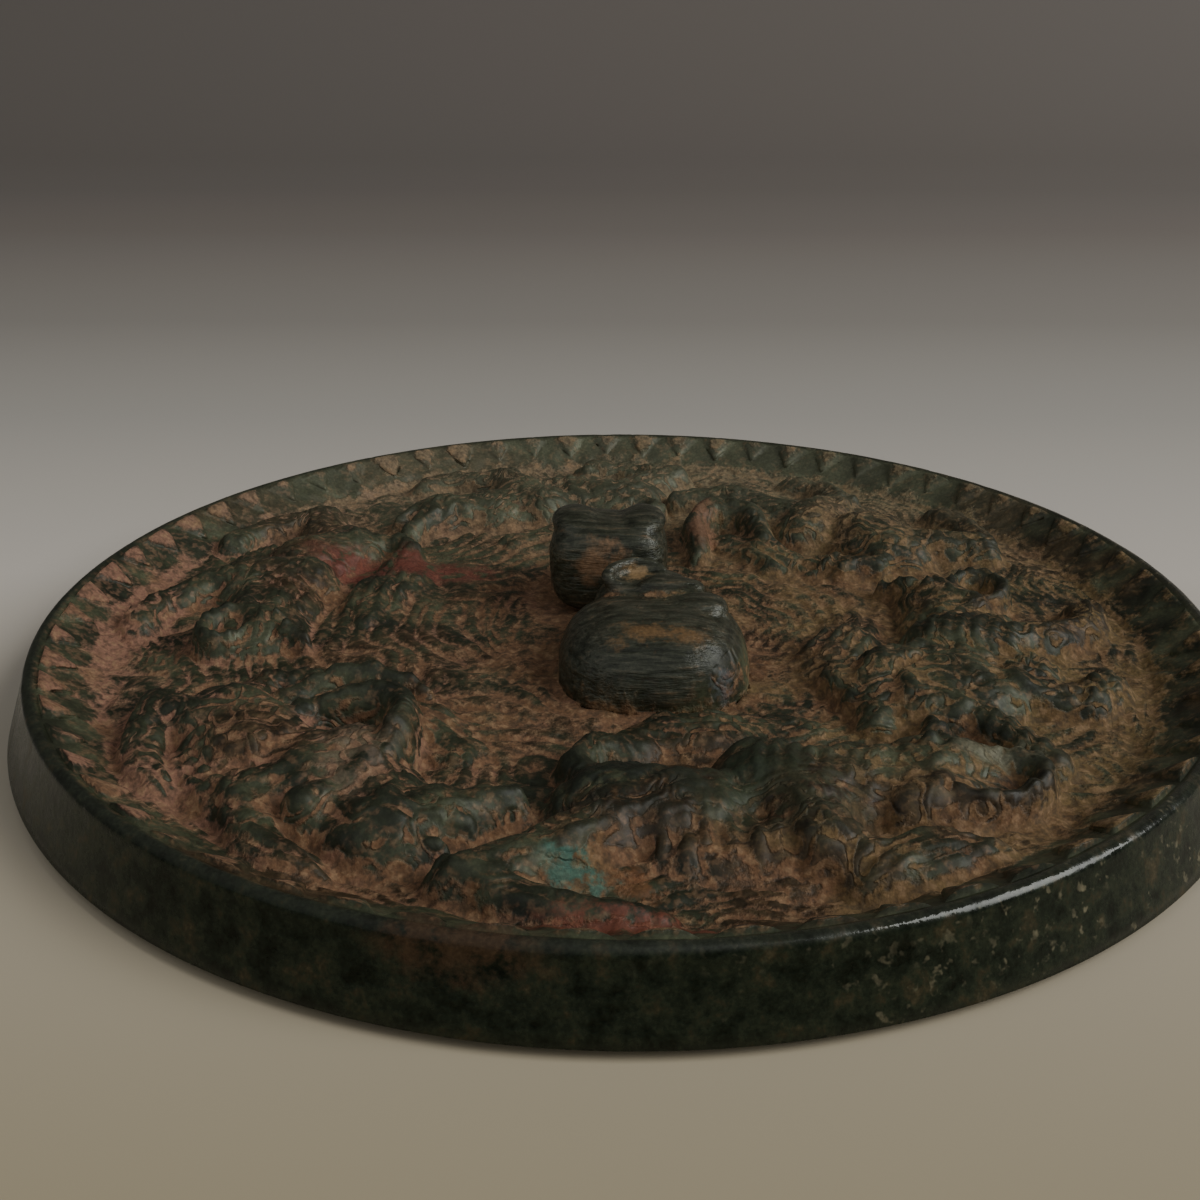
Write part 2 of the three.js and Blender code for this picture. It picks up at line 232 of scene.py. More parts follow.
def rays(at, count, spacing, length, lean=0.0, width=0.018, depth=0.4):
    """Short lines towards the rim, side by side along the ring: ribs, fringe and claws."""
    lines = []
    for k in range(count):
        top = offset(at, (k - (count - 1) / 2) * spacing, 0.02 * math.sin(2.1 * k))
        lines += ridge([top, offset(top, lean / 2, length / 2), offset(top, lean, length)], width, depth)
    return lines


def leg(top, joint, paw, width):
    """A leg from the body over the joint to a paw with three claws, and hair behind it."""
    toes = offset(paw, 0.07, 0.02)
    return (
        mass([top, joint, paw], [width, width * 0.72, width * 0.55], [0.8, 0.64, 0.52])
        + mass([paw, toes], [width * 0.6, width * 0.72], [0.52, 0.5])
        + locks([top, joint, paw], 3, width * 0.42)
        + locks([paw, offset(toes, 0.03, 0.01)], 3, 0.034, 0.018, 0.45)
    )


def tail(hip, lift):
    """A tail that rises from the rump towards the middle of the mirror and curls forward in a tuft."""
    points = [
        offset(hip, -0.1, -0.06),
        offset(hip, -0.17, -0.14),
        offset(hip, -0.13, -0.19 - lift),
        offset(hip, 0.0, -0.22 - lift),
    ]
    end = points[-1]
    return (
        mass(points, [0.06, 0.05, 0.055, 0.075], [0.6, 0.55, 0.5, 0.42])
        + locks(points, 3, 0.03)
        + locks(arc(end, 0.09, 0.06, 200, 380), 2, 0.035)
    )


def broad_head(at, size):
    """A broad head from above: an open ring as mouth, towards the rim, a nose, an eye, a brow and an ear."""
    mouth = offset(at, 0.22 * size, 0.46 * size)
    eye = offset(at, 0.12 * size, -0.4 * size)
    ear = [offset(at, 0.5 * size, -0.6 * size), offset(at, 0.9 * size, -0.95 * size)]
    return (
        dome(at, size, 0.8)
        + dome(offset(at, -0.55 * size, 0.22 * size), size * 0.42, 0.84)
        + mass(arc(mouth, 0.52 * size, 0.42 * size, 0, 360, 0.7, 14), [0.2 * size] * 15, [0.8] * 15)
        + pit(mouth, 0.6 * size, 0.95)
        + pit(mouth, 0.4 * size, 0.6)
        + ridge(arc(mouth, 0.66 * size, 0.55 * size, 20, 250, 0.7), 0.02, 0.3)
        + dome(eye, size * 0.2, 0.94)
        + ridge(arc(eye, 0.3 * size, 0.25 * size, 150, 440), 0.02, 0.35)
        + ridge(arc(at, 0.95 * size, 0.75 * size, 185, 350), 0.024, 0.45)
        + ridge(arc(at, 1.12 * size, 0.92 * size, 200, 330), 0.02, 0.3)
        + mass(ear, [0.26 * size, 0.14 * size], [0.7, 0.5])
    )


def long_head(at, size):
    """A long head in profile, jaws a little open, with an eye and an ear laid back."""
    snout = offset(at, 1.5 * size, -0.55 * size)
    jaw = [offset(at, 0, 0.5 * size), offset(at, 1.2 * size, 0.25 * size)]
    ear = [offset(at, -0.2 * size, -0.6 * size), offset(at, -1.1 * size, -0.95 * size)]
    return (
        dome(at, size * 1.1, 0.8)
        + mass([offset(at, 0, -0.15 * size), snout], [size * 0.8, size * 0.34], [0.86, 0.6])
        + mass(jaw, [size * 0.45, size * 0.25], [0.66, 0.5])
        + ridge(arc(offset(at, 0.25 * size, -0.35 * size), 0.36 * size, 0.3 * size, 0, 360), 0.018, 0.35)
        + ridge([offset(at, 0.1 * size, 0.1 * size), offset(snout, 0, 0.3 * size)], 0.022, -0.5)
        + mass(ear, [size * 0.4, size * 0.2], [0.75, 0.5])
    )


def beast(hip, shoulder, head, knee, foot, elbow, paw, broad=True, size=0.17, lift=0.04, rise=0.86):
    """One running beast, its back towards the middle of the mirror, all places in the ring's own shares."""
    waist = ((hip[0] + shoulder[0]) / 2, (hip[1] + shoulder[1]) / 2 - 0.01)
    neck = ((shoulder[0] + head[0]) / 2, (shoulder[1] + head[1]) / 2 - 0.03)
    back = [
        offset(hip, -0.11, -0.04),
        offset(hip, 0.0, -0.14),
        offset(waist, 0.0, -0.13),
        offset(shoulder, 0.03, -0.16),
        offset(neck, 0.04, -0.14),
        offset(head, 0.0, -0.14),
    ]
    cloud = [
        offset(hip, -0.08, -0.28),
        offset(waist, -0.04, -0.32),
        offset(waist, 0.12, -0.3),
        offset(neck, 0.06, -0.28),
    ]
    haunch = [offset(hip, -0.06, -0.01), offset(hip, 0.06, 0.02)]
    chest = [offset(shoulder, -0.02, -0.05), offset(shoulder, 0.02, 0.06)]
    belly = [offset(waist, -0.05, 0.16), offset(waist, 0.07, 0.17)]
    crest = arc(offset(neck, 0.0, 0.03), 0.15, 0.17, 190, 340)
    return (
        mass(haunch, [0.15, 0.16], [rise, rise + 0.04])
        + mass([hip, waist, shoulder], [0.14, 0.12, 0.14], [0.8, 0.6, 0.8])
        + mass(chest, [0.14, 0.13], [rise + 0.04, rise])
        + mass([shoulder, neck, head], [0.15, 0.15, 0.13], [0.8, 0.72, 0.76])
        + mass(belly, [0.11, 0.11], [0.42, 0.42])
        + mass(cloud, [0.08, 0.11, 0.11, 0.08], [0.2, 0.32, 0.34, 0.22])
        + locks(back, 2, 0.045, 0.022, 0.42)
        + locks(cloud, 4, 0.042, 0.018, 0.34)
        + locks(crest, 5, 0.036, 0.017, 0.36)
        + ridge(arc(offset(hip, 0.0, 0.02), 0.15, 0.15, 60, -60), 0.02, 0.35)
        + ridge(arc(offset(shoulder, 0.0, 0.02), 0.13, 0.15, 130, 230), 0.02, 0.3)
        + rays(offset(waist, 0.0, 0.1), 7, 0.039, 0.15, -0.02)
        + leg(offset(hip, -0.06, 0.07), knee, foot, 0.1)
        + leg(offset(shoulder, 0.0, 0.08), elbow, paw, 0.1)
        + rays(offset(waist, -0.02, 0.29), 4, 0.036, 0.09, 0.0, 0.02, 0.5)
        + tail(hip, lift)
        + (broad_head(head, size) if broad else long_head(head, size * 0.75))
    )


def near_beast():
    """The beast nearest the camera, with its long paw of curved locks and its outstretched hind leg."""
    body = beast(
        hip=(-0.235, 0.07), shoulder=(0.05, 0.07), head=(0.35, 0.21), size=0.185,
        knee=(-0.5, 0.39), foot=(-0.37, 0.45), elbow=(0.045, 0.3), paw=(0.1, 0.42),
    )
    paw = (0.15, 0.5)
    body += mass([(0.09, 0.41), (0.17, 0.4), (0.24, 0.47)], [0.07, 0.08, 0.05], [0.55, 0.52, 0.42])
    for k in range(4):
        body += ridge(arc(paw, 0.05 + 0.034 * k, 0.04 + 0.034 * k, 195, 355), 0.018, 0.42)
    body += mass([(-0.37, 0.45), (-0.25, 0.47)], [0.055, 0.05], [0.5, 0.42])
    body += locks([(-0.47, 0.42), (-0.36, 0.44), (-0.24, 0.48)], 3, 0.034)
    body += ridge([(-0.25, 0.16), (-0.36, 0.27), (-0.43, 0.33)], 0.026, 0.5)
    return body


def arched_beast():
    """The beast at the left: a ridge arched like a bent neck, a dark crest behind it and a long snout."""
    body = beast(
        hip=(-0.15, 0.2), shoulder=(0.12, 0.16), head=(0.32, 0.28), broad=False, size=0.12,
        knee=(-0.3, 0.34), foot=(-0.16, 0.44), elbow=(0.08, 0.36), paw=(0.18, 0.45),
    )
    arch = arc((0.055, 0.13), 0.145, 0.225, 180, 360, 0.0, 12) + [(0.205, 0.22), (0.19, 0.33)]
    body += mass(arch, [0.045] * 4 + [0.055] * 11, [0.75] * 3 + [0.98] * 8 + [0.85] * 4)
    body += ridge(arch, 0.02, 0.3)
    body += pit((0.04, 0.06), 0.1, 0.9)
    crest = [(-0.19, 0.06), (-0.175, -0.06), (-0.12, -0.145), (-0.03, -0.195), (0.06, -0.212)]
    body += mass(crest, [0.06, 0.06, 0.055, 0.04, 0.018], [0.7, 0.9, 0.95, 0.75, 0.4])
    body += ridge(crest, 0.02, 0.4)
    snout = [(0.29, 0.3), (0.4, 0.19), (0.51, 0.11)]
    body += mass(snout, [0.09, 0.085, 0.03], [0.6, 0.78, 0.62])
    body += ridge(beside(snout, 0.085), 0.03, -0.8)
    body += ridge(beside(snout, -0.05), 0.018, 0.3)
    body += pit((0.4, 0.17), 0.05, 0.3)
    return body


def long_legged_beast():
    """The beast at the right: hair swept back over its rump, two straight legs and a striped mane."""
    body = beast(
        hip=(-0.33, -0.02), shoulder=(0.0, 0.0), head=(0.28, 0.0),
        knee=(-0.236, 0.152), foot=(-0.19, 0.33), elbow=(0.05, 0.2), paw=(0.14, 0.34),
    )
    sweep = [(-0.56, -0.06), (-0.42, -0.16), (-0.3, -0.17), (-0.15, -0.1), (0.0, -0.04)]
    body += mass(sweep, [0.06, 0.08, 0.09, 0.08, 0.05], [0.5, 0.75, 0.85, 0.75, 0.5])
    body += locks(sweep, 5, 0.034)
    shin = [(-0.39, 0.13), (-0.46, 0.34)]
    body += mass(shin, [0.06, 0.045], [0.62, 0.45])
    body += locks(shin, 3, 0.03)
    body += rays((0.5, -0.38), 5, 0.085, 0.2, 0.03, 0.034, 0.75)
    return body


def rearing_beast():
    """The beast behind the knob, its neck bent back in a tall arch."""
    body = beast(
        hip=(-0.24, 0.03), shoulder=(0.02, 0.0), head=(0.34, 0.06), broad=False,
        knee=(-0.4, 0.28), foot=(-0.26, 0.38), elbow=(0.06, 0.24), paw=(0.16, 0.36),
    )
    neck = [(0.24, -0.45), (0.38, -0.3), (0.36, -0.14), (0.22, -0.12), (0.04, -0.26)]
    body += mass(neck, [0.06, 0.07, 0.075, 0.07, 0.05], [0.5, 0.9, 1.0, 0.9, 0.55])
    return body + locks(neck, 3, 0.036)


def far_beast():
    """The beast at the far side, half hidden behind the knob, so it is plain."""
    return beast(
        hip=(-0.24, 0.03), shoulder=(0.03, 0.02), head=(0.34, 0.06), broad=False,
        knee=(-0.42, 0.26), foot=(-0.28, 0.36), elbow=(0.07, 0.25), paw=(0.18, 0.36),
    )


def far_left_beast():
    """The beast at the far left, blurred by distance, so it is plain."""
    return beast(
        hip=(-0.2, 0.08), shoulder=(0.06, 0.1), head=(0.35, 0.08), size=0.15,
        knee=(-0.38, 0.3), foot=(-0.25, 0.4), elbow=(0.1, 0.28), paw=(0.2, 0.4),
    )


# Counterclockwise from the one nearest the camera.
BEASTS = [
    near_beast(),
    long_legged_beast(),
    rearing_beast(),
    far_beast(),
    far_left_beast(),
    arched_beast(),
]


def stroke_place(stroke, along, out):
    """Share of the way along the stroke and, across it, share of its half width, up to 1."""
    dx, dy = stroke.end[0] - stroke.start[0], stroke.end[1] - stroke.start[1]
    sx, sy = along - stroke.start[0], out - stroke.start[1]
    t = np.clip((sx * dx + sy * dy) / (dx * dx + dy * dy), 0, 1)
    off = np.hypot(sx - t * dx, sy - t * dy) / lerp(stroke.width0, stroke.width1, t)
    return t, np.clip(off, 0, 1)


def relief(x, y):
    """Height of the beasts above the field."""
    radius = np.hypot(x, y)
    angle = np.arctan2(y, x)
    height = np.zeros_like(radius)
    raised = np.zeros_like(radius)
    cut = np.zeros_like(radius)
    for i, strokes in enumerate(BEASTS):
        middle = math.radians(FIRST_BEAST_ANGLE + 360 * i / BEAST_COUNT)
        turn = np.arctan2(np.sin(angle - middle), np.cos(angle - middle))
        along = turn * RING_RADIUS / BEAST_LENGTH
        out = (radius - RING_RADIUS) / BEAST_LENGTH
        for stroke in strokes:
            reach = max(stroke.width0, stroke.width1)
            spots = np.flatnonzero(
                (along > min(stroke.start[0], stroke.end[0]) - reach)
                & (along < max(stroke.start[0], stroke.end[0]) + reach)
                & (out > min(stroke.start[1], stroke.end[1]) - reach)
                & (out < max(stroke.start[1], stroke.end[1]) + reach)
            )
            t, off = stroke_place(stroke, along[spots], out[spots])
            rise = lerp(stroke.rise0, stroke.rise1, t)
            if not stroke.detail:
                # Full on top and steep at the foot.
                rise = RELIEF_HEIGHT * rise * (1 - off**2.6) ** 1.1
                height[spots] = soft_max(height[spots], rise, BLEND_WIDTH)
            elif stroke.rise0 > 0:
                raised[spots] = np.maximum(raised[spots], rise * (1 - off * off) ** 1.2)
            else:
                cut[spots] = np.minimum(cut[spots], rise * (1 - off * off) ** 1.2)
    return np.maximum(height + (raised + cut) * ramp(height, 0.0, 0.7), 0)


def flow(x, y):
    """Fine locks that run round the ring, curls between them, and the low swell of the field under both."""
    radius = np.hypot(x, y)
    flat = np.stack([x, y, np.zeros_like(x)], axis=1)
    kind = ramp(layered_noise(flat, LOCK_PATCH_SIZE, 2, 61), -0.12, 0.12)
    locks_at = radius / LOCK_SPACING + 2.8 * layered_noise(flat, LOCK_BEND_SIZE, 2, 51)
    curls_at = 3.6 * layered_noise(flat, CURL_SIZE, 2, 81)
    phase = np.where(kind > 0.5, locks_at, curls_at)
    crest = np.abs(np.sin(math.pi * phase)) ** 0.8 - 0.68
    crest *= np.abs(2 * kind - 1) ** 0.5
    swell = layered_noise(flat, SWELL_SIZE, 3, 71)
    ring = ramp(radius, RING_INNER_RADIUS - 9, RING_INNER_RADIUS - 4)
    ring *= ramp(-radius, 0.5 - SLOPE_TOP_RADIUS, -FIELD_RADIUS)
    return ring * (LOCK_HEIGHT * crest + SWELL_HEIGHT * swell)


# Meshes


def mesh_object(name, vertices, faces):
    """An object in metres from points in millimetres."""
    mesh = bpy.data.meshes.new(name)
    mesh.from_pydata(np.asarray(vertices) * MM, [], [tuple(int(index) for index in face) for face in faces])
    mesh.validate()
    obj = bpy.data.objects.new(name, mesh)
    bpy.context.scene.collection.objects.link(obj)
    return obj


def stitch(start_a, a, start_b, b):
    """Triangles between rings of a and b points, always on to the point that comes next round the circle."""
    shares = np.concatenate([np.arange(1, b + 1) / b, np.arange(1, a + 1) / a])
    order = np.argsort(shares, kind="stable")
    on_b = order < b
    j = np.cumsum(on_b) - on_b
    i = np.cumsum(~on_b) - ~on_b
    point_a = start_a + i % a
    point_b = start_b + j % b
    third = np.where(on_b, start_b + (j + 1) % b, start_a + (i + 1) % a)
    faces = np.stack([point_a, point_b, third], axis=1)
    proper = (faces[:, 0] != faces[:, 2]) & (faces[:, 1] != faces[:, 2])
    return faces[proper]


def ring_run(from_radius, to_radius, from_z, to_z, spacing):
    """(radius, z, count) of rings a spacing apart along a straight line, without the last one."""
    length = math.hypot(to_radius - from_radius, to_z - from_z)
    steps = max(1, round(length / spacing))
    rings = []
    for i in range(steps):
        radius = lerp(from_radius, to_radius, i / steps)
        rings.append((radius, lerp(from_z, to_z, i / steps), max(6, round(2 * math.pi * radius / spacing))))
    return rings


def make_disc():
    """The disc with rim, slope and beasts, in rings of points from the middle of the back to the face."""
    toe = FIELD_THICKNESS
    wall_top = RIM_HEIGHT - RIM_ROUNDING
    wall_foot = FACE_RISE + FACE_CHAMFER
    centre_radius = RING_INNER_RADIUS - 4
    rings = [(0.0, toe, 1)]
    rings += ring_run(0.5, centre_radius, toe, toe, CENTRE_SPACING)
    rings += ring_run(centre_radius, FIELD_RADIUS, toe, toe, RELIEF_SPACING)
    rings += ring_run(FIELD_RADIUS, SLOPE_TOP_RADIUS, toe, RIM_HEIGHT, SLOPE_SPACING)
    rings += ring_run(
        SLOPE_TOP_RADIUS, RIM_RADIUS - RIM_ROUNDING, RIM_HEIGHT, RIM_HEIGHT, RIM_TOP_SPACING
    )[:3]
    count = round(2 * math.pi * RIM_RADIUS / RIM_SPACING)
    for k in range(ROUNDING_STEPS + 1):
        turn = math.pi / 2 * k / ROUNDING_STEPS
        radius = RIM_RADIUS - RIM_ROUNDING * (1 - math.sin(turn))
        rings.append((radius, RIM_HEIGHT - RIM_ROUNDING * (1 - math.cos(turn)), count))
    rings += ring_run(RIM_RADIUS, FACE_RADIUS, wall_top, wall_foot, WALL_SPACING)[1:]
    rings += ring_run(FACE_RADIUS, FACE_RADIUS - FACE_CHAMFER, wall_foot, FACE_RISE, CHAMFER_SPACING)
    rings += ring_run(FACE_RADIUS - FACE_CHAMFER, FACE_FLAT_RADIUS, FACE_RISE, 0, FACE_SPACING)
    rings += ring_run(FACE_FLAT_RADIUS, 0, 0, 0, FACE_SPACING)
    rings.append((0.0, 0.0, 1))
    points, starts = [], []
    total = 0
    for radius, z, count in rings:
        angle = 2 * math.pi * np.arange(count) / count
        points.append(np.stack([radius * np.cos(angle), radius * np.sin(angle), np.full(count, z)], axis=1))
        starts.append(total)
        total += count
    vertices = np.concatenate(points)
    faces = np.concatenate(
        [stitch(starts[k], rings[k][2], starts[k + 1], rings[k + 1][2]) for k in range(len(rings) - 1)]
    )
    radius = np.hypot(vertices[:, 0], vertices[:, 1])
    back = (vertices[:, 2] >= toe - 1e-6) & (radius < SLOPE_TOP_RADIUS)
    beasts = relief(vertices[back, 0], vertices[back, 1])
    beasts *= ramp(radius[back], SLOPE_TOP_RADIUS - 0.5, FIELD_RADIUS)
    vertices[back, 2] = toe + soft_max(vertices[back, 2] - toe, beasts, BLEND_WIDTH)
    vertices[back, 2] += flow(vertices[back, 0], vertices[back, 1])
    return mesh_object("mirror", vertices, faces)


def ellipsoid(centre, half, squareness=(1.0, 1.0, 1.0), across=48, down=28):
    """Points and faces of a closed ellipsoid, squarer than a sphere where squareness is under 1."""
    points = [(0, 0, 1)]
    for j in range(1, down):
        polar = math.pi * j / down
        reach = math.sin(polar)
        for i in range(across):
            turn = 2 * math.pi * i / across
            points.append((reach * math.cos(turn), reach * math.sin(turn), math.cos(polar)))
    points.append((0, 0, -1))
    last = len(points) - 1
    faces = []
    for i in range(across):
        n = (i + 1) % across
        faces.append((0, 1 + i, 1 + n))
        for j in range(down - 2):
            a, b = 1 + j * across + i, 1 + j * across + n
            faces += [(a, a + across, b), (b, a + across, b + across)]
        base = 1 + (down - 2) * across
        faces.append((base + i, last, base + n))
    shape = np.array(points, float)
    shape = np.sign(shape) * np.abs(shape) ** np.array(squareness)
    return shape * half + centre, np.array(faces)


def torus(centre, half_x, half_y, thickness, turn, around=28, across=10):
    """Points and faces of a closed oval ring, turned about its centre."""
    points, faces = [], []
    for i in range(around):
        for j in range(across):
            a, b = 2 * math.pi * i / around, 2 * math.pi * j / across
            reach = thickness * math.cos(b)
            across_x = (half_x + reach) * math.cos(a)
            across_y = (half_y + reach) * math.sin(a)
            points.append(turn @ Vector((across_x, across_y, thickness * math.sin(b))) + Vector(centre))
            near, far = i * across, (i + 1) % around * across
            faces.append((near + j, far + j, far + (j + 1) % across, near + (j + 1) % across))
    return np.array(points), faces


def applied(obj):
    """Bakes obj's modifiers into its mesh."""
    depsgraph = bpy.context.evaluated_depsgraph_get()
    mesh = bpy.data.meshes.new_from_object(obj.evaluated_get(depsgraph))
    obj.modifiers.clear()
    old = obj.data
    obj.data = mesh
    bpy.data.meshes.remove(old)


def combine(obj, tool, operation):
    """obj joined with or cut by tool, which is used up."""
    cut = obj.modifiers.new("combine", "BOOLEAN")
    cut.operation = operation
    cut.solver = "MANIFOLD"
    cut.object = tool
    applied(obj)
    bpy.data.objects.remove(tool)


def make_knob():
    """The crouching beast: rump, back, head with brows, paws and an ear, melted together and pierced."""
    floor = FIELD_THICKNESS
    front = KNOB_SHIFT - KNOB_LENGTH / 2
    back = KNOB_SHIFT + KNOB_LENGTH / 2
    rump_y = front + KNOB_RUMP_LENGTH / 2
    hole_y = front + KNOB_RUMP_LENGTH + 0.18 * CORD_HOLE_WIDTH
    half = KNOB_HEAD_WIDTH / 2
    head_y = hole_y + CORD_HOLE_WIDTH / 2 + 0.42 * KNOB_HEAD_WIDTH
    lump = (KNOB_RUMP_X - 0.6, hole_y - 1.6, floor + 0.46 * KNOB_BACK_HEIGHT)
    rump_half = (KNOB_RUMP_WIDTH / 2, KNOB_RUMP_LENGTH / 2, KNOB_RUMP_HEIGHT + 0.3)
    lump_half = (0.29 * KNOB_RUMP_WIDTH, 0.88 * CORD_HOLE_WIDTH, 0.5 * KNOB_BACK_HEIGHT)
    head_middle = (KNOB_HEAD_X, head_y, floor + 0.47 * KNOB_HEAD_HEIGHT)
    head_half = (half, 0.84 * half, 0.51 * KNOB_HEAD_HEIGHT)
    nape = (KNOB_HEAD_X, head_y + 0.9 * half, floor + 0.45 * KNOB_HEAD_HEIGHT)
    nape_half = (0.66 * half, 0.5 * half, 0.26 * KNOB_HEAD_HEIGHT)
    soft = (0.8, 0.8, 0.8)
    shapes = [
        ellipsoid((KNOB_RUMP_X, rump_y, floor - 0.3), rump_half, (0.72, 0.75, 0.68)),
        ellipsoid(lump, lump_half, (0.9, 0.9, 0.9)),
        ellipsoid(head_middle, head_half, (0.58, 0.6, 0.6)),
        ellipsoid(nape, nape_half, soft),
        ellipsoid((KNOB_HEAD_X, back - 4.6, floor + 0.8), (1.04 * half, 4.6, 3), soft),
    ]
    for side in (-1, 1):
        brow = (KNOB_HEAD_X + side * 0.56 * half, head_y + 0.1 * half, floor + KNOB_HEAD_HEIGHT - 0.75)
        shapes.append(ellipsoid(brow, (0.4 * half, 0.62 * half, 1.15)))
        paw = (KNOB_HEAD_X + side * 0.62 * half, back - 2.8, floor + 0.4)
        shapes.append(ellipsoid(paw, (0.36 * half, 2.8, 1.7)))
    # An oval ear on the back, and the fold of skin that runs down from it to the right.
    fold = (KNOB_RUMP_X + 1.6, hole_y - 3.6, floor + 0.86 * KNOB_BACK_HEIGHT)
    flank = (KNOB_RUMP_X + 3.6, hole_y - 6.6, floor + 0.86 * KNOB_RUMP_HEIGHT)
    ear = (KNOB_RUMP_X - 1.6, hole_y - 2.0, floor + 0.95 * KNOB_BACK_HEIGHT)
    ear_turn = Matrix.Rotation(0.35, 3, "Z") @ Matrix.Rotation(0.5, 3, "X")
    shapes.append(ellipsoid(fold, (3.2, 1.3, 1.0), soft))
    shapes.append(ellipsoid(flank, (3.0, 2.2, 1.1), soft))
    shapes.append(torus(ear, 2.6, 1.5, 0.58, ear_turn))
    points, faces, total = [], [], 0
    for shape_points, shape_faces in shapes:
        points.append(shape_points)
        faces += [tuple(total + index for index in face) for face in shape_faces]
        total += len(shape_points)
    points = np.concatenate(points)
    points[:, 2] = np.maximum(points[:, 2], KNOB_ROOT)
    knob = mesh_object("knob", points, faces)
    remesh = knob.modifiers.new("voxels", "REMESH")
    remesh.mode = "VOXEL"
    remesh.voxel_size = KNOB_VOXEL * MM
    remesh.use_smooth_shade = True
    smooth = knob.modifiers.new("soften", "SMOOTH")
    smooth.factor = 0.5
    smooth.iterations = 2
    applied(knob)
    combine(knob, make_cord_hole(hole_y), "DIFFERENCE")
    return knob


def make_cord_hole(hole_y):
    """An arch with a flat floor on the field, from side to side."""
    half = CORD_HOLE_WIDTH / 2
    straight = CORD_HOLE_HEIGHT - half
    below = 3.0
    steps = 16
    outline = [(-half, -below), (half, -below)]
    for k in range(steps + 1):
        turn = math.pi * k / steps
        outline.append((half * math.cos(turn), straight + half * math.sin(turn)))
    reach = KNOB_RUMP_WIDTH
    vertices = []
    for side in (-1, 1):
        vertices += [(side * reach, hole_y + across, FIELD_THICKNESS + up) for across, up in outline]
    n = len(outline)
    faces = [(i, (i + 1) % n, n + (i + 1) % n, n + i) for i in range(n)]
    faces += [tuple(range(n))[::-1], tuple(range(n, 2 * n))]
    return mesh_object("cord_hole", vertices, faces)


def make_tooth():
    """One saw tooth with its foot at the origin and its point towards -Y, sunk a little into the slope."""
    rows, columns = 8, 8
    half_foot = 0.94 * math.pi * (SLOPE_TOP_RADIUS - TOOTH_INSET) / TOOTH_COUNT
    points = []
    for level in (1, 0):
        for i in range(rows + 1):
            run = i / rows
            for j in range(columns + 1):
                across = 2 * j / columns - 1
                rise = TOOTH_HEIGHT * (1 - run) ** 0.35 * (1 - abs(across) ** 3)
                height = rise if level else -TOOTH_ROOT
                points.append((across * half_foot * (1.04 - run), -run * TOOTH_LENGTH, height))
    wide = columns + 1
    under = wide * (rows + 1)
    faces = []
    for i in range(rows):
        for j in range(columns):
            a = i * wide + j
            faces.append((a, a + wide, a + wide + 1, a + 1))
            faces.append((under + a, under + a + 1, under + a + wide + 1, under + a + wide))
    edge = list(range(wide))
    edge += [i * wide + columns for i in range(1, rows + 1)]
    edge += [rows * wide + j for j in range(columns - 1, -1, -1)]
    edge += [i * wide for i in range(rows - 1, 0, -1)]
    faces += [(a, b, under + b, under + a) for a, b in zip(edge, edge[1:] + edge[:1])]
    return mesh_object("tooth", points, faces)


def make_teeth(material):
    """Geometry Nodes set one tooth round the slope, each of a slightly different size, as cut by hand."""
    slope = math.atan2(RIM_HEIGHT - FIELD_THICKNESS, SLOPE_WIDTH)
    foot_radius = SLOPE_TOP_RADIUS - TOOTH_INSET
    tooth = make_tooth()
    tree = bpy.data.node_groups.new("saw teeth", "GeometryNodeTree")
    sizes = (
        ("Tooth", "NodeSocketObject", tooth),
        ("Count", "NodeSocketInt", TOOTH_COUNT),
        ("Foot Radius", "NodeSocketFloat", foot_radius * MM),
        ("Foot Height", "NodeSocketFloat", (RIM_HEIGHT - TOOTH_INSET * math.tan(slope)) * MM),
        ("Slope", "NodeSocketFloat", slope),
        ("Smallest", "NodeSocketFloat", 0.8),
        ("Largest", "NodeSocketFloat", 1.0),
        ("Seed", "NodeSocketInt", 7),
        ("Material", "NodeSocketMaterial", material),
    )
    for name, kind, _ in sizes:
        tree.interface.new_socket(name, in_out="INPUT", socket_type=kind)
    tree.interface.new_socket("Teeth", in_out="OUTPUT", socket_type="NodeSocketGeometry")
    given = tree.nodes.new("NodeGroupInput").outputs
    add = functools.partial(node, tree)
    foot = {"Vertices": given["Count"], "Radius": given["Foot Radius"]}
    circle = add("GeometryNodeMeshCircle", foot)
    axes = add("ShaderNodeSeparateXYZ", [add("GeometryNodeInputPosition")])
    angle = add("ShaderNodeMath", [axes.node.outputs[1], axes], operation="ARCTAN2")
    angle = add("ShaderNodeMath", [angle, math.pi / 2], operation="SUBTRACT")
    turn = add("ShaderNodeCombineXYZ", [given["Slope"], 0.0, angle])
    lift = add("ShaderNodeCombineXYZ", [0.0, 0.0, given["Foot Height"]])
    raised = add("GeometryNodeSetPosition", {"Geometry": circle, "Offset": lift})
    between = {2: given["Smallest"], 3: given["Largest"], "Seed": given["Seed"]}
    scale = add("FunctionNodeRandomValue", between, output=1)
    stock = add("GeometryNodeObjectInfo", {"Object": given["Tooth"]}, output="Geometry")
    placed = {"Points": raised, "Instance": stock, "Rotation": turn, "Scale": scale}
    whole = add("GeometryNodeRealizeInstances", [add("GeometryNodeInstanceOnPoints", placed)])
    dressed = add("GeometryNodeSetMaterial", {"Geometry": whole, "Material": given["Material"]})
    add("NodeGroupOutput", {"Teeth": dressed})
    teeth = mesh_object("teeth", [(0, 0, 0)], [])
    modifier = teeth.modifiers.new("saw teeth", "NODES")
    modifier.node_group = tree
    for item in tree.interface.items_tree:
        for name, _, value in sizes:
            if item.name == name and item.in_out == "INPUT":
                modifier[item.identifier] = value
    applied(teeth)
    bpy.data.objects.remove(tooth)
    return teeth


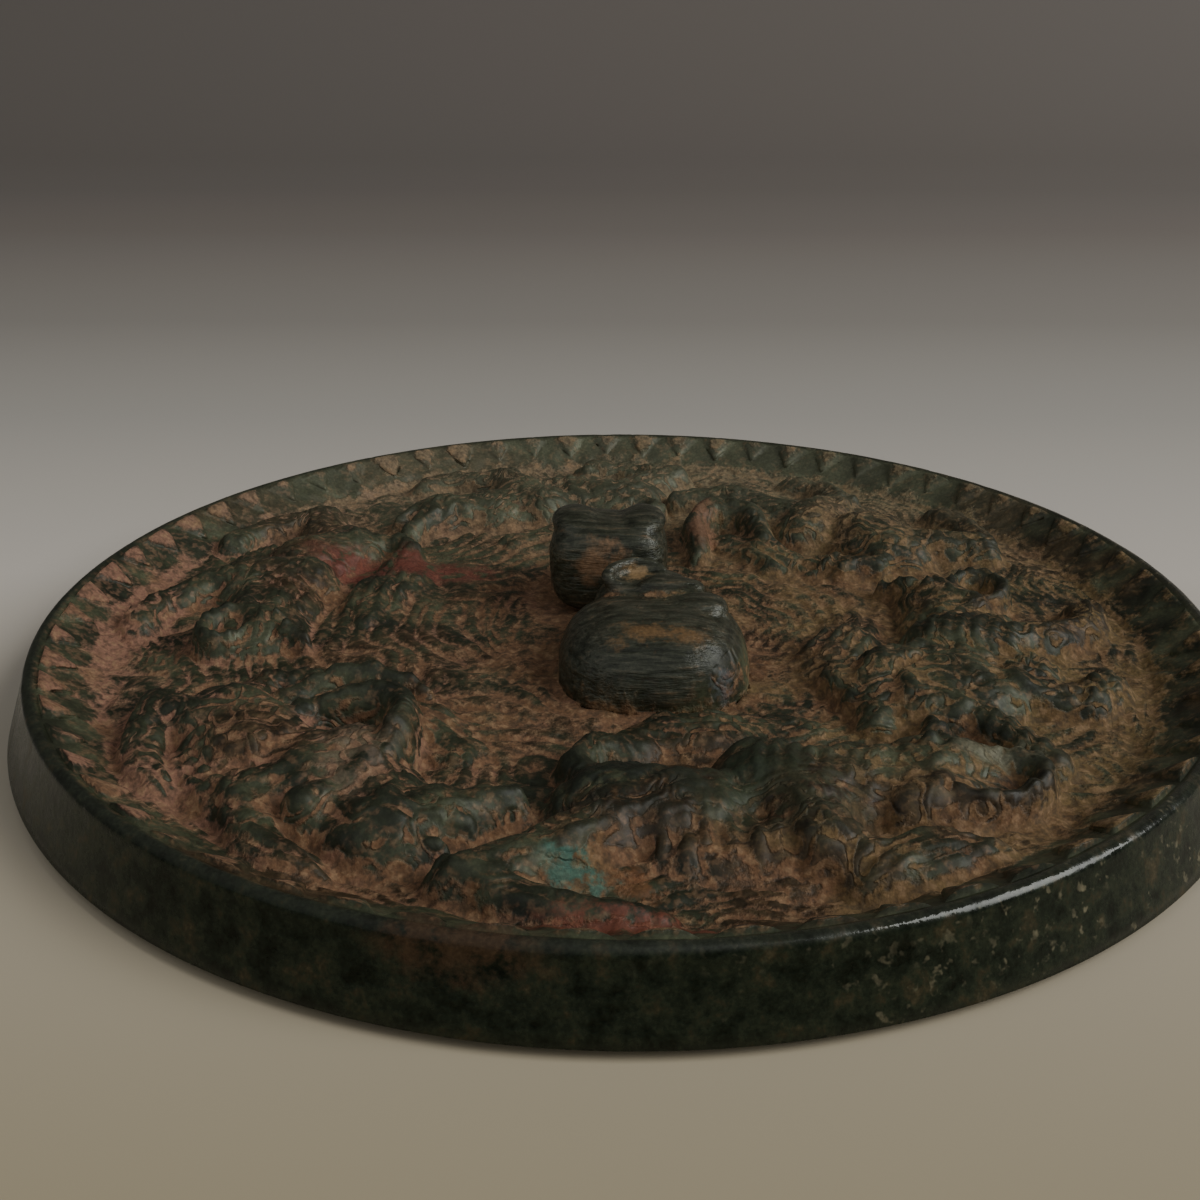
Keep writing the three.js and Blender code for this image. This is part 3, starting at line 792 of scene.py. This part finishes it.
def blurred(grid, cells):
    """grid with a Gaussian blur of that many cells."""
    reach = int(3 * cells) + 1
    kernel = np.exp(-0.5 * (np.arange(-reach, reach + 1) / cells) ** 2)
    kernel /= kernel.sum()
    for axis in (0, 1):
        padded = np.pad(grid, [(reach, reach) if k == axis else (0, 0) for k in (0, 1)], mode="edge")
        cells_along = np.arange(grid.shape[axis])
        grid = sum(weight * np.take(padded, cells_along + k, axis) for k, weight in enumerate(kernel))
    return grid


def height_grids(points, cell):
    """Sum of the heights and number of points in each cell of a square grid over the mirror."""
    half = int(FACE_RADIUS / cell) + 4
    sums = np.zeros((2 * half + 1, 2 * half + 1))
    counts = np.zeros_like(sums)
    i = np.round(points[:, 0] / cell).astype(int) + half
    j = np.round(points[:, 1] / cell).astype(int) + half
    np.add.at(sums, (i, j), points[:, 2])
    np.add.at(counts, (i, j), 1)
    return sums, counts, half


def points_and_normals(mesh):
    """The mesh's points in millimetres and its normals there."""
    found = []
    for collection, key in ((mesh.vertices, "co"), (mesh.vertex_normals, "vector")):
        flat = np.empty(len(mesh.vertices) * 3)
        collection.foreach_get(key, flat)
        found.append(flat.reshape(-1, 3))
    return found[0] / MM, found[1]


def weather(mesh):
    """Moves the cast skin in and out by fractions of a mm: wear, crust and pits, less on rim and face."""
    points, normals = points_and_normals(mesh)
    radius = np.hypot(points[:, 0], points[:, 1])
    inside = 1 - ramp(radius, SLOPE_TOP_RADIUS - 1.2, SLOPE_TOP_RADIUS)
    back = ramp(points[:, 2], FACE_RISE + FACE_CHAMFER, 2.5)
    lumps = layered_noise(points, LUMP_SIZE, 3, 11)
    crust = layered_noise(points, CRUST_SIZE, 2, 23)
    pits = ramp(noise(points, PIT_SIZE, 37), 0.55, 0.9)
    shift = inside * (LUMP_DEPTH * lumps + CRUST_DEPTH * crust) + RIM_LUMP_DEPTH * lumps
    shift -= PIT_DEPTH * pits * lerp(0.35, 1, inside)
    points += normals * (back * shift)[:, None]
    mesh.vertices.foreach_set("co", (points * MM).ravel())
    mesh.update()


def add_attribute(mesh, name, values):
    attribute = mesh.attributes.new(name, "FLOAT", "POINT")
    attribute.data.foreach_set("value", values.astype(np.float32))


def mark_hollows(mesh):
    """Stores in mm how far each point stands above its surroundings, taken fine, near and wide, above the
    field and above the plain slope inside the rim, and stores which points are the knob's."""
    points, normals = points_and_normals(mesh)
    cell = 0.25
    sums, counts, half = height_grids(points[normals[:, 2] > 0.02], cell)
    column = np.clip(points[:, 0] / cell + half, 0, 2 * half - 1.001)
    row = np.clip(points[:, 1] / cell + half, 0, 2 * half - 1.001)
    i, j = column.astype(int), row.astype(int)
    u, v = column - i, row - j
    level_ground = ramp(normals[:, 2], 0.3, 0.75)
    # Name, width of the blur and largest value kept.
    reaches = (("stand_fine", 0.38, 0.35), ("stand_near", 0.85, 0.6), ("stand_wide", 2.8, 1.5))
    for name, width, limit in reaches:
        soft = blurred(sums, width / cell) / np.maximum(blurred(counts, width / cell), 1e-9)
        near_row = lerp(soft[i, j], soft[i + 1, j], u)
        next_row = lerp(soft[i, j + 1], soft[i + 1, j + 1], u)
        stand = points[:, 2] - lerp(near_row, next_row, v)
        add_attribute(mesh, name, level_ground * np.clip(stand, -limit, limit))
    radius = np.hypot(points[:, 0], points[:, 1])
    share = np.clip((radius - FIELD_RADIUS) / SLOPE_WIDTH, 0, 1)
    stand = np.clip(points[:, 2] - lerp(FIELD_THICKNESS, RIM_HEIGHT, share), 0, RELIEF_HEIGHT)
    add_attribute(mesh, "stand_field", stand * ramp(-radius, -FIELD_RADIUS, 1 - FIELD_RADIUS))
    inner = ramp(radius, FIELD_RADIUS + 0.5, FIELD_RADIUS + 2)
    outer = ramp(-radius, -SLOPE_TOP_RADIUS - 0.1, 0.3 - SLOPE_TOP_RADIUS)
    add_attribute(mesh, "stand_slope", inner * outer * (np.minimum(stand, TOOTH_HEIGHT) - TOOTH_HEIGHT / 2))
    # An oval a little larger than the knob.
    reach_x = (points[:, 0] - 1) / (0.56 * KNOB_RUMP_WIDTH + 1)
    reach_y = (points[:, 1] - KNOB_SHIFT) / (KNOB_LENGTH / 2 + 1.5)
    raised = ramp(points[:, 2], FIELD_THICKNESS + 0.3, FIELD_THICKNESS + 1)
    add_attribute(mesh, "on_knob", raised * ramp(-np.hypot(reach_x, reach_y), -1.08, -0.95))


# Materials


def linear(text):
    """A hex sRGB colour as linear red, green, blue and alpha."""
    channels = [int(text[i : i + 2], 16) / 255 for i in (1, 3, 5)]
    return tuple(c / 12.92 if c <= 0.04045 else ((c + 0.055) / 1.055) ** 2.4 for c in channels) + (1.0,)


def node(tree, kind, inputs=(), output=0, stops=(), **settings):
    """Adds a node with its settings, its values or links and its (place, hex colour) stops, and returns one
    of its outputs."""
    added = tree.nodes.new(kind)
    for name, value in settings.items():
        setattr(added, name, value)
    for key, value in inputs.items() if isinstance(inputs, dict) else enumerate(inputs):
        socket = added.inputs[key]
        if isinstance(value, bpy.types.NodeSocket):
            tree.links.new(value, socket)
        else:
            socket.default_value = value
    for i, (place, text) in enumerate(stops):
        elements = added.color_ramp.elements
        element = elements[i] if i < len(elements) else elements.new(place)
        element.position = place
        element.color = linear(text)
    return added.outputs[output] if added.outputs else None


MATH = "ShaderNodeMath"
VECTOR = "ShaderNodeVectorMath"
RANGE = "ShaderNodeMapRange"
MIX = "ShaderNodeMix"
COLOURS = "ShaderNodeValToRGB"
NOISE = "ShaderNodeTexNoise"
SMOOTH = {"interpolation_type": "SMOOTHSTEP"}
# A mix node's inputs 6 and 7 and its output 2 are its colours.
BLEND = {"output": 2, "data_type": "RGBA"}
MINUS = {"operation": "SUBTRACT"}
TIMES = {"operation": "MULTIPLY"}

# Name, size of the lumps in mm, detail and roughness.
PATINA_NOISES = (
    ("drift", 13.0, 3.0, 0.55),
    ("patch", 5.5, 4.0, 0.6),
    ("blotch", 1.9, 4.0, 0.65),
    ("fleck", 0.75, 2.0, 0.55),
    ("grain", 0.3, 2.0, 0.6),
)

# Sizes in mm: bends of the fine locks, pocks on the wall, streaks of filing, and the wandering of stains.
FINE_LOCK_BEND = 6.5
POCK_SIZE = 0.87
FILING_SIZE = 1.25
WANDER_SIZE = 2.0
WANDER_REACH = 5.0

# Where the burial left more or less earth: middle and reach along x and y in mm, and how much.
EARTH_PLACES = (
    ((3.0, -32.0), (14.0, 6.5), -1.0),
    ((-30.0, 8.0), (16.0, 20.0), -0.6),
    ((24.0, 12.0), (14.0, 12.0), 0.7),
    ((-49.5, -6.0), (5.0, 26.0), 1.5),
    ((-37.0, -35.0), (7.0, 7.0), 1.1),
    ((22.0, -17.0), (8.0, 5.5), 0.6),
    ((40.0, -14.0), (9.0, 16.0), 0.35),
    ((0.0, 40.0), (34.0, 9.0), 0.3),
    ((4.0, -46.5), (40.0, 5.0), -0.35),
)

# Middle and reach along x, y and z in mm, colour and strength. All are stains but the last, which is a
# painted sheen.
STAINS_AND_PAINTED_SHEEN = (
    ((-2.8, -43.0, 5.0), (2.6, 1.2, 9.0), "#4a7d6e", 0.8),
    ((0.9, -43.2, 5.0), (1.8, 1.9, 9.0), "#8f5c38", 0.6),
    ((1.5, -48.6, 5.0), (8.0, 1.4, 9.0), "#8f503c", 0.75),
    ((-10.0, -52.2, 6.4), (6.0, 3.0, 2.6), "#6d4a35", 0.45),
    ((-23.0, 10.6, 5.0), (11.0, 3.6, 9.0), "#8a4b3e", 0.8),
    ((8.5, 21.0, 5.0), (1.8, 6.0, 9.0), "#b07c5e", 0.5),
    ((-20.0, -31.0, 5.0), (3.0, 6.5, 9.0), "#a88b74", 0.3),
    ((0.5, -34.0, 6.0), (7.5, 5.5, 9.0), "#242b1f", 0.85),
    ((11.5, -34.5, 6.0), (7.5, 5.5, 9.0), "#3f4a34", 0.6),
    ((-2.2, 1.0, 9.2), (2.8, 2.5, 2.3), "#a5805e", 0.85),
    ((2.8, -15.5, 9.0), (4.6, 1.5, 1.8), "#9a774f", 0.75),
    ((1.0, -4.6, 9.9), (1.6, 1.2, 0.9), "#b3946a", 0.9),
    ((28.2, -28.3, 5.0), (3.4, 1.9, 9.0), "#86836a", 0.85),
    # A painted sheen, not a stain: bluish light on the right side of the knob's rump.
    ((8.0, -18.0, 5.5), (1.3, 2.0, 1.2), "#757c80", 0.4),
)


def summed(add, start, terms, **settings):
    """start and each term times its weight."""
    for term, weight in terms:
        start = add(MATH, [term, weight, start], operation="MULTIPLY_ADD", **settings)
    return start


def surface_inputs(add):
    """Where a point is in millimetres, what mark_hollows stored there, and noises of several sizes."""
    place = add("ShaderNodeTexCoord", output="Object")
    at = add(VECTOR, {0: place, "Scale": 1 / MM}, operation="SCALE")
    x = add("ShaderNodeSeparateXYZ", [at])
    flat = add(VECTOR, [at, (1, 1, 0)], **TIMES)
    found = {"at": at, "x": x, "y": x.node.outputs[1], "z": x.node.outputs[2]}
    found["radius"] = add(VECTOR, [flat], output="Value", operation="LENGTH")
    for name in ("stand_fine", "stand_near", "stand_wide", "stand_field", "stand_slope", "on_knob"):
        found[name] = add("ShaderNodeAttribute", output="Fac", attribute_name=name)
    for name, size, detail, roughness in PATINA_NOISES:
        shifted = add(VECTOR, [at, (3 * size, 5 * size, 7 * size)], operation="ADD")
        shape = {"Vector": shifted, "Scale": 1 / size, "Detail": detail, "Roughness": roughness}
        found[name] = add(NOISE, shape)
    return types.SimpleNamespace(**found)


def spot(add, at, middle, reach, edge):
    """1 round middle, fading to 0 between the two shares of reach in edge."""
    away = add(VECTOR, [at, middle], **MINUS)
    away = add(VECTOR, [away, tuple(1 / length for length in reach)], **TIMES)
    away = add(VECTOR, [away], output="Value", operation="LENGTH")
    return add(RANGE, [away, *edge], **SMOOTH)


def bronze_skin(add, here):
    """Olive black to grey green, umber in places, darkest on what stands high, made paler at the far side by
    painted glare.
    """
    olive = ((0.32, "#262a1b"), (0.46, "#3a3f2b"), (0.56, "#53583f"), (0.68, "#6c7053"))
    olive = add(COLOURS, [here.patch], stops=olive)
    umber = add(COLOURS, [here.blotch], stops=((0.3, "#2d2417"), (0.55, "#54442c"), (0.75, "#786646")))
    skin = add(MIX, {0: add(RANGE, [here.drift, 0.5, 0.62], **SMOOTH), 6: olive, 7: umber}, **BLEND)
    high = summed(add, 0.0, ((here.stand_fine, 0.8), (here.stand_near, 0.7), (here.stand_wide, 0.35)))
    rubbed = add(RANGE, [high, 0.1, 1.3, 0.0, 0.8], **SMOOTH)
    dark = add(COLOURS, [here.blotch], stops=((0.32, "#1e2217"), (0.5, "#2d3223"), (0.7, "#484d38")))
    skin = add(MIX, {0: rubbed, 6: skin, 7: dark}, **BLEND)
    # Painted glare: the skin turns paler grey green towards the back, as a haze of light.
    far_glare_painted = add(RANGE, [here.y, 8.0, 44.0, 0.0, 0.5], **SMOOTH)
    return add(MIX, {0: far_glare_painted, 6: skin, 7: linear("#77795f")}, **BLEND)


def burial_earth(add, here):
    """Earth in pale and dark crumbs: salmon at the left, brown, ochre at the right, greyer at the back with
    painted glare.
    """
    uneven = add(MATH, [here.patch, 0.5], **MINUS)
    side = summed(add, 0.5, ((here.x, 0.0085), (uneven, 1.5)))
    soils = ((0.08, "#a67a62"), (0.3, "#906b4d"), (0.5, "#825f41"), (0.72, "#846844"), (0.95, "#826b42"))
    soil = add(COLOURS, [side], stops=soils)
    # Painted glare: the earth turns greyer towards the back, as a haze of light.
    far = add(RANGE, [here.y, 5.0, 42.0, 0.0, 0.55], **SMOOTH)
    soil = add(MIX, {0: far, 6: soil, 7: linear("#938b6e")}, **BLEND)
    for start, full, crumb in ((0.52, 0.66, "#b5926c"), (0.5, 0.36, "#43382a")):
        share = add(RANGE, [here.fleck, start, full, 0.0, 0.5], **SMOOTH)
        soil = add(MIX, {0: share, 6: soil, 7: linear(crumb)}, **BLEND)
    return soil


def fine_locks(add, here):
    """Fine wavy locks cut into the beasts: 1 on a ridge, -1 in a furrow, 0 on the field and the knob."""
    lock = add(NOISE, {"Vector": here.at, "Scale": 1 / FINE_LOCK_BEND, "Detail": 2.0, "Roughness": 0.45})
    lock = add(MATH, [add(MATH, [lock, 75.0], **TIMES)], operation="SINE")
    body = summed(add, here.stand_field, ((here.on_knob, -12.0),))
    return add(MATH, [lock, add(RANGE, [body, 0.1, 1.2], **SMOOTH)], **TIMES)


def earth_level(add, here, lock):
    """How deep the earth lies: it covers the bronze over 0, in hollows, on the teeth and in patches."""
    terms = [
        (here.stand_fine, -4.2),
        (here.stand_near, -1.3),
        (here.stand_wide, -0.15),
        (here.stand_field, -0.13),
        (here.stand_slope, 9.0),
        (here.on_knob, -0.3),
        (here.blotch, 2.0),
        (here.fleck, 1.4),
        (here.drift, 2.4),
        (here.patch, 2.6),
        (here.grain, 0.5),
        (lock, -0.8),
    ]
    for middle, reach, amount in EARTH_PLACES:
        terms.append((spot(add, here.at, (*middle, 0.0), (*reach, math.inf), (1.25, 0.5)), amount))
    return summed(add, -4.5, terms)


def wall_skin(add, here, back):
    """The wall and the rim, handled smooth: green black, pale pocks at the right, worn on the top."""
    wall = ((0.34, "#181e14"), (0.46, "#283024"), (0.56, "#353c2c"), (0.64, "#474330"), (0.74, "#625941"))
    colour = add(COLOURS, [here.blotch], stops=wall)
    pocks = add(NOISE, {"Vector": here.at, "Scale": 1 / POCK_SIZE, "Detail": 2.0, "Roughness": 0.6})
    pocks = add(RANGE, [pocks, 0.57, 0.7], **SMOOTH)
    pocks = add(MATH, [pocks, add(RANGE, [here.x, -4.0, 30.0], **SMOOTH)], **TIMES)
    pocks = add(MATH, [pocks, add(RANGE, [here.patch, 0.4, 0.56], **SMOOTH)], **TIMES)
    colour = add(MIX, {0: pocks, 6: colour, 7: linear("#857f66")}, **BLEND)
    worn = add(MATH, [add(RANGE, [here.z, 6.1, 6.5], **SMOOTH), back], use_clamp=True, **MINUS)
    worn = add(MATH, [worn, 0.25], **TIMES)
    return add(MIX, {0: worn, 6: colour, 7: linear("#55554a")}, **BLEND)


def stained_and_sheened(add, here, colour):
    """The colour with stains of copper green, iron red and earth and one painted sheen, their edges
    wandering by a few mm.
    """
    wander = {"Vector": here.at, "Scale": 1 / WANDER_SIZE, "Detail": 4.0, "Roughness": 0.65}
    wander = add(NOISE, wander, output="Color")
    wander = add(VECTOR, [wander, (0.5, 0.5, 0.5)], **MINUS)
    wander = add(VECTOR, {0: wander, "Scale": WANDER_REACH}, operation="SCALE")
    at = add(VECTOR, [here.at, wander], operation="ADD")
    broken = add(RANGE, [here.blotch, 0.36, 0.52], **SMOOTH)
    broken = add(MATH, [broken, add(RANGE, [here.z, 0.6, 2.0], **SMOOTH)], **TIMES)
    for middle, reach, text, strength in STAINS_AND_PAINTED_SHEEN:
        mask = add(MATH, [spot(add, at, middle, reach, (1.2, 0.55)), strength], **TIMES)
        mask = add(MATH, [mask, broken], **TIMES)
        colour = add(MIX, {0: mask, 6: colour, 7: linear(text)}, **BLEND)
    return colour


def bronze_patina():
    """Tin bronze, cast in clay and buried: the eye sees a dark olive skin, satin where it is rubbed, under
    granular earth that fills the hollows. Noise sizes are in millimetres."""
    material = bpy.data.materials.new("bronze_cast_patinated")
    material.use_nodes = True
    tree = material.node_tree
    tree.nodes.clear()
    add = functools.partial(node, tree)
    here = surface_inputs(add)
    lock = fine_locks(add, here)
    low = earth_level(add, here, lock)
    basin = add(RANGE, [here.radius, SLOPE_TOP_RADIUS + 0.15, SLOPE_TOP_RADIUS - 0.5], **SMOOTH)
    back = add(MATH, [basin, add(RANGE, [here.z, 2.6, 3.1], **SMOOTH)], **TIMES)
    earth = add(MATH, [add(RANGE, [low, -0.55, 0.5], **SMOOTH), back], **TIMES)
    dust = add(RANGE, [here.fleck, 0.46, 0.62, 0.0, 0.4], **SMOOTH)
    dust = add(MATH, [dust, add(RANGE, [low, -2.2, -0.8], **SMOOTH)], **TIMES)
    cover = add(MATH, [add(MATH, [earth, 0.94], **TIMES), dust], operation="MAXIMUM")
    colour = add(MIX, {0: cover, 6: bronze_skin(add, here), 7: burial_earth(add, here)}, **BLEND)

    # The knob keeps the streaks of its filing, across it, with a little earth caught in them.
    streak_at = add(VECTOR, [here.at, (0.35, 1.8, 2.9)], **TIMES)
    streak = add(NOISE, {"Vector": streak_at, "Scale": 1 / FILING_SIZE, "Detail": 4.0, "Roughness": 0.6})
    filed = ((0.34, "#2b2e23"), (0.48, "#454839"), (0.58, "#58594a"), (0.67, "#6f6650"), (0.76, "#97785a"))
    filed = add(COLOURS, [streak], stops=filed)
    bare = add(MATH, [1.0, earth], **MINUS)
    knob = add(MATH, [add(MATH, [here.on_knob, 0.85], **TIMES), bare], **TIMES)
    colour = add(MIX, {0: knob, 6: colour, 7: filed}, **BLEND)
    colour = add(MIX, {0: back, 6: wall_skin(add, here, back), 7: colour}, **BLEND)
    colour = stained_and_sheened(add, here, colour)

    # The reflecting face: a thin silvery green film over dark metal.
    film = ((0.35, "#4a5148"), (0.5, "#6b7267"), (0.62, "#59604f"), (0.72, "#6e5f49"))
    film = add(COLOURS, [here.patch], stops=film)
    below = add(RANGE, [here.z, FACE_RISE + 0.25, FACE_RISE + 0.02], **SMOOTH)
    colour = add(MIX, {0: below, 6: colour, 7: film}, **BLEND)
    fine = add(COLOURS, [here.grain], stops=((0.32, "#8c8c8c"), (0.5, "#c8c8c8"), (0.68, "#ffffff")))
    colour = add(MIX, {0: 0.5, 6: colour, 7: fine}, blend_type="MULTIPLY", **BLEND)

    # Earth is matt and the skin satin. The wall is smooth, and the rim's arris shines at the right only.
    smooth_wall = add(MATH, [1.0, back], **MINUS)
    high = add(RANGE, [here.z, 6.1, 6.45], **SMOOTH)
    arris = add(MATH, [high, back], use_clamp=True, **MINUS)
    uneven = add(MATH, [here.patch, 0.58], **MINUS)
    uneven = add(MATH, [arris, uneven], **TIMES)
    matt = add(MATH, [arris, add(RANGE, [here.x, 14.0, -8.0], **SMOOTH)], **TIMES)
    blotchy = add(MATH, [here.blotch, 0.5], **MINUS)
    rough = summed(add, 0.56, ((earth, 0.33), (blotchy, 0.5)))
    smoother = ((smooth_wall, -0.29), (here.on_knob, -0.2), (uneven, 1.1), (matt, 0.4))
    rough = summed(add, rough, smoother, use_clamp=True)
    shining = add(MATH, [arris, matt], **MINUS)
    gloss = summed(add, 0.22, ((shining, 0.35), (back, 0.28)))
    metallic = add(MATH, [bare, 0.2], **TIMES)

    # Relief too fine for the mesh, in millimetres: crumbs of earth, locks and filing.
    height = summed(add, 0.0, ((here.grain, 0.03), (here.fleck, 0.1), (here.blotch, 0.2)))
    height = add(MATH, [height, summed(add, 0.3, ((earth, 0.8),))], **TIMES)
    filing = add(MATH, [streak, here.on_knob], **TIMES)
    height = summed(add, height, ((lock, 0.035), (filing, 0.22)))
    bump = add("ShaderNodeBump", {"Height": height, "Strength": 0.9, "Distance": MM})
    surface = {"Base Color": colour, "Roughness": rough, "Metallic": metallic, "Normal": bump}
    shader = add("ShaderNodeBsdfPrincipled", {**surface, "Specular IOR Level": gloss})
    add("ShaderNodeOutputMaterial", [shader])
    return material


# The mirror
bronze = bronze_patina()
mirror = make_disc()
combine(mirror, make_teeth(bronze), "UNION")
combine(mirror, make_knob(), "UNION")
weather(mirror.data)
mark_hollows(mirror.data)
mirror.data.polygons.foreach_set("use_smooth", [True] * len(mirror.data.polygons))
mirror.data.materials.clear()
mirror.data.materials.append(bronze)

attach(mirror, "root")
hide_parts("mirror")


def table_material():
    """Matte seamless paper with painted light and shade: warm painted light at the front, a painted pool of
    light under the mirror and painted shade, taupe, towards the back.
    """
    material = bpy.data.materials.new("paper_matte_painted_light_and_shade")
    material.use_nodes = True
    tree = material.node_tree
    shader = tree.nodes["Principled BSDF"]
    place = node(tree, "ShaderNodeTexCoord", output="Object")
    y = node(tree, "ShaderNodeSeparateXYZ", [place], output="Y")
    share = node(tree, RANGE, [y, TABLE_PAINTED_LIGHT_FROM * MM, TABLE_PAINTED_LIGHT_TO * MM])
    # Painted light and shade along the table: warm light at the front, a pale pool of light under the
    # mirror, shade darkening towards the back.
    painted_light_and_shade = (
        (0.0, "#b9aa86"),
        (0.2, "#e2dacd"),
        (0.33, "#bdb8ae"),
        (0.48, "#9f9990"),
        (0.76, "#877f77"),
        (1.0, "#7d766f"),
    )
    tone = node(tree, COLOURS, [share], stops=painted_light_and_shade)
    tree.links.new(tone, shader.inputs["Base Color"])
    shader.inputs["Roughness"].default_value = 0.75
    return material


# The table runs back and sweeps up into a backdrop.
TABLE_HALF_WIDTH = 1600.0
TABLE_FRONT = -1000.0
# The table's painted light and shade run between these two places, in mm along y.
TABLE_PAINTED_LIGHT_FROM = -80.0
TABLE_PAINTED_LIGHT_TO = 420.0
SWEEP_START = 550.0
SWEEP_RADIUS = 500.0
SWEEP_STEPS = 24
BACKDROP_HEIGHT = 2000.0
profile = [(TABLE_FRONT, 0.0), (SWEEP_START, 0.0)]
for k in range(1, SWEEP_STEPS + 1):
    turn = math.pi / 2 * k / SWEEP_STEPS
    profile.append((SWEEP_START + SWEEP_RADIUS * math.sin(turn), SWEEP_RADIUS * (1 - math.cos(turn))))
profile.append((SWEEP_START + SWEEP_RADIUS, BACKDROP_HEIGHT))
table = mesh_object(
    "table",
    [(side * TABLE_HALF_WIDTH, y, z) for y, z in profile for side in (-1, 1)],
    [(2 * k, 2 * k + 1, 2 * k + 3, 2 * k + 2) for k in range(len(profile) - 1)],
)
table.data.polygons.foreach_set("use_smooth", [True] * len(table.data.polygons))
table.data.materials.append(table_material())

# Camera, worked out from the photograph: the rim's ellipse, the knob and the teeth. Its distance and height
# are shares of the rim's radius, and the angles are in radians.
CAMERA_DISTANCE = 2.13738
CAMERA_HEIGHT = 0.90427
CAMERA_YAW = -0.01985
CAMERA_PITCH = 0.40845
CAMERA_ROLL = -0.00226
FOCAL_PIXELS = 1300.0
IMAGE_PIXELS = 1200.0
SENSOR = 36.0

camera_data = bpy.data.cameras.new("camera")
camera_data.sensor_width = SENSOR
camera_data.lens = FOCAL_PIXELS / IMAGE_PIXELS * SENSOR
camera_data.clip_start = 0.005
camera = bpy.data.objects.new("camera", camera_data)
bpy.context.scene.collection.objects.link(camera)
camera.location = Vector((0, -CAMERA_DISTANCE * RIM_RADIUS, RIM_HEIGHT + CAMERA_HEIGHT * RIM_RADIUS)) * MM
sy, cy = math.sin(CAMERA_YAW), math.cos(CAMERA_YAW)
sp, cp = math.sin(CAMERA_PITCH), math.cos(CAMERA_PITCH)
forward = Vector((sy * cp, cy * cp, -sp))
right = Vector((cy, -sy, 0))
up = right.cross(forward)
rolled_right = right * math.cos(CAMERA_ROLL) + up * math.sin(CAMERA_ROLL)
rolled_up = up * math.cos(CAMERA_ROLL) - right * math.sin(CAMERA_ROLL)
rows = [(rolled_right[i], rolled_up[i], -forward[i], camera.location[i]) for i in range(3)]
camera.matrix_world = Matrix(rows + [(0, 0, 0, 1)])
bpy.context.scene.camera = camera


def area_light(name, position, size, power):
    """A square light aimed at the mirror, its size in metres and its power in watts."""
    data = bpy.data.lights.new(name, "AREA")
    data.size = size
    data.energy = power
    light = bpy.data.objects.new(name, data)
    bpy.context.scene.collection.objects.link(light)
    light.location = position
    light.rotation_euler = (-Vector(position)).to_track_quat("-Z", "Y").to_euler()


area_light("window", position=(1.4, -0.3, 1.1), size=1.1, power=19.8)
area_light("fill", position=(-0.6, -0.8, 1.1), size=2.4, power=6.5)

world = bpy.data.worlds.new("room")
world.use_nodes = True
background = world.node_tree.nodes["Background"]
background.inputs["Color"].default_value = linear("#c9cdd2")
background.inputs["Strength"].default_value = 0.12
bpy.context.scene.world = world
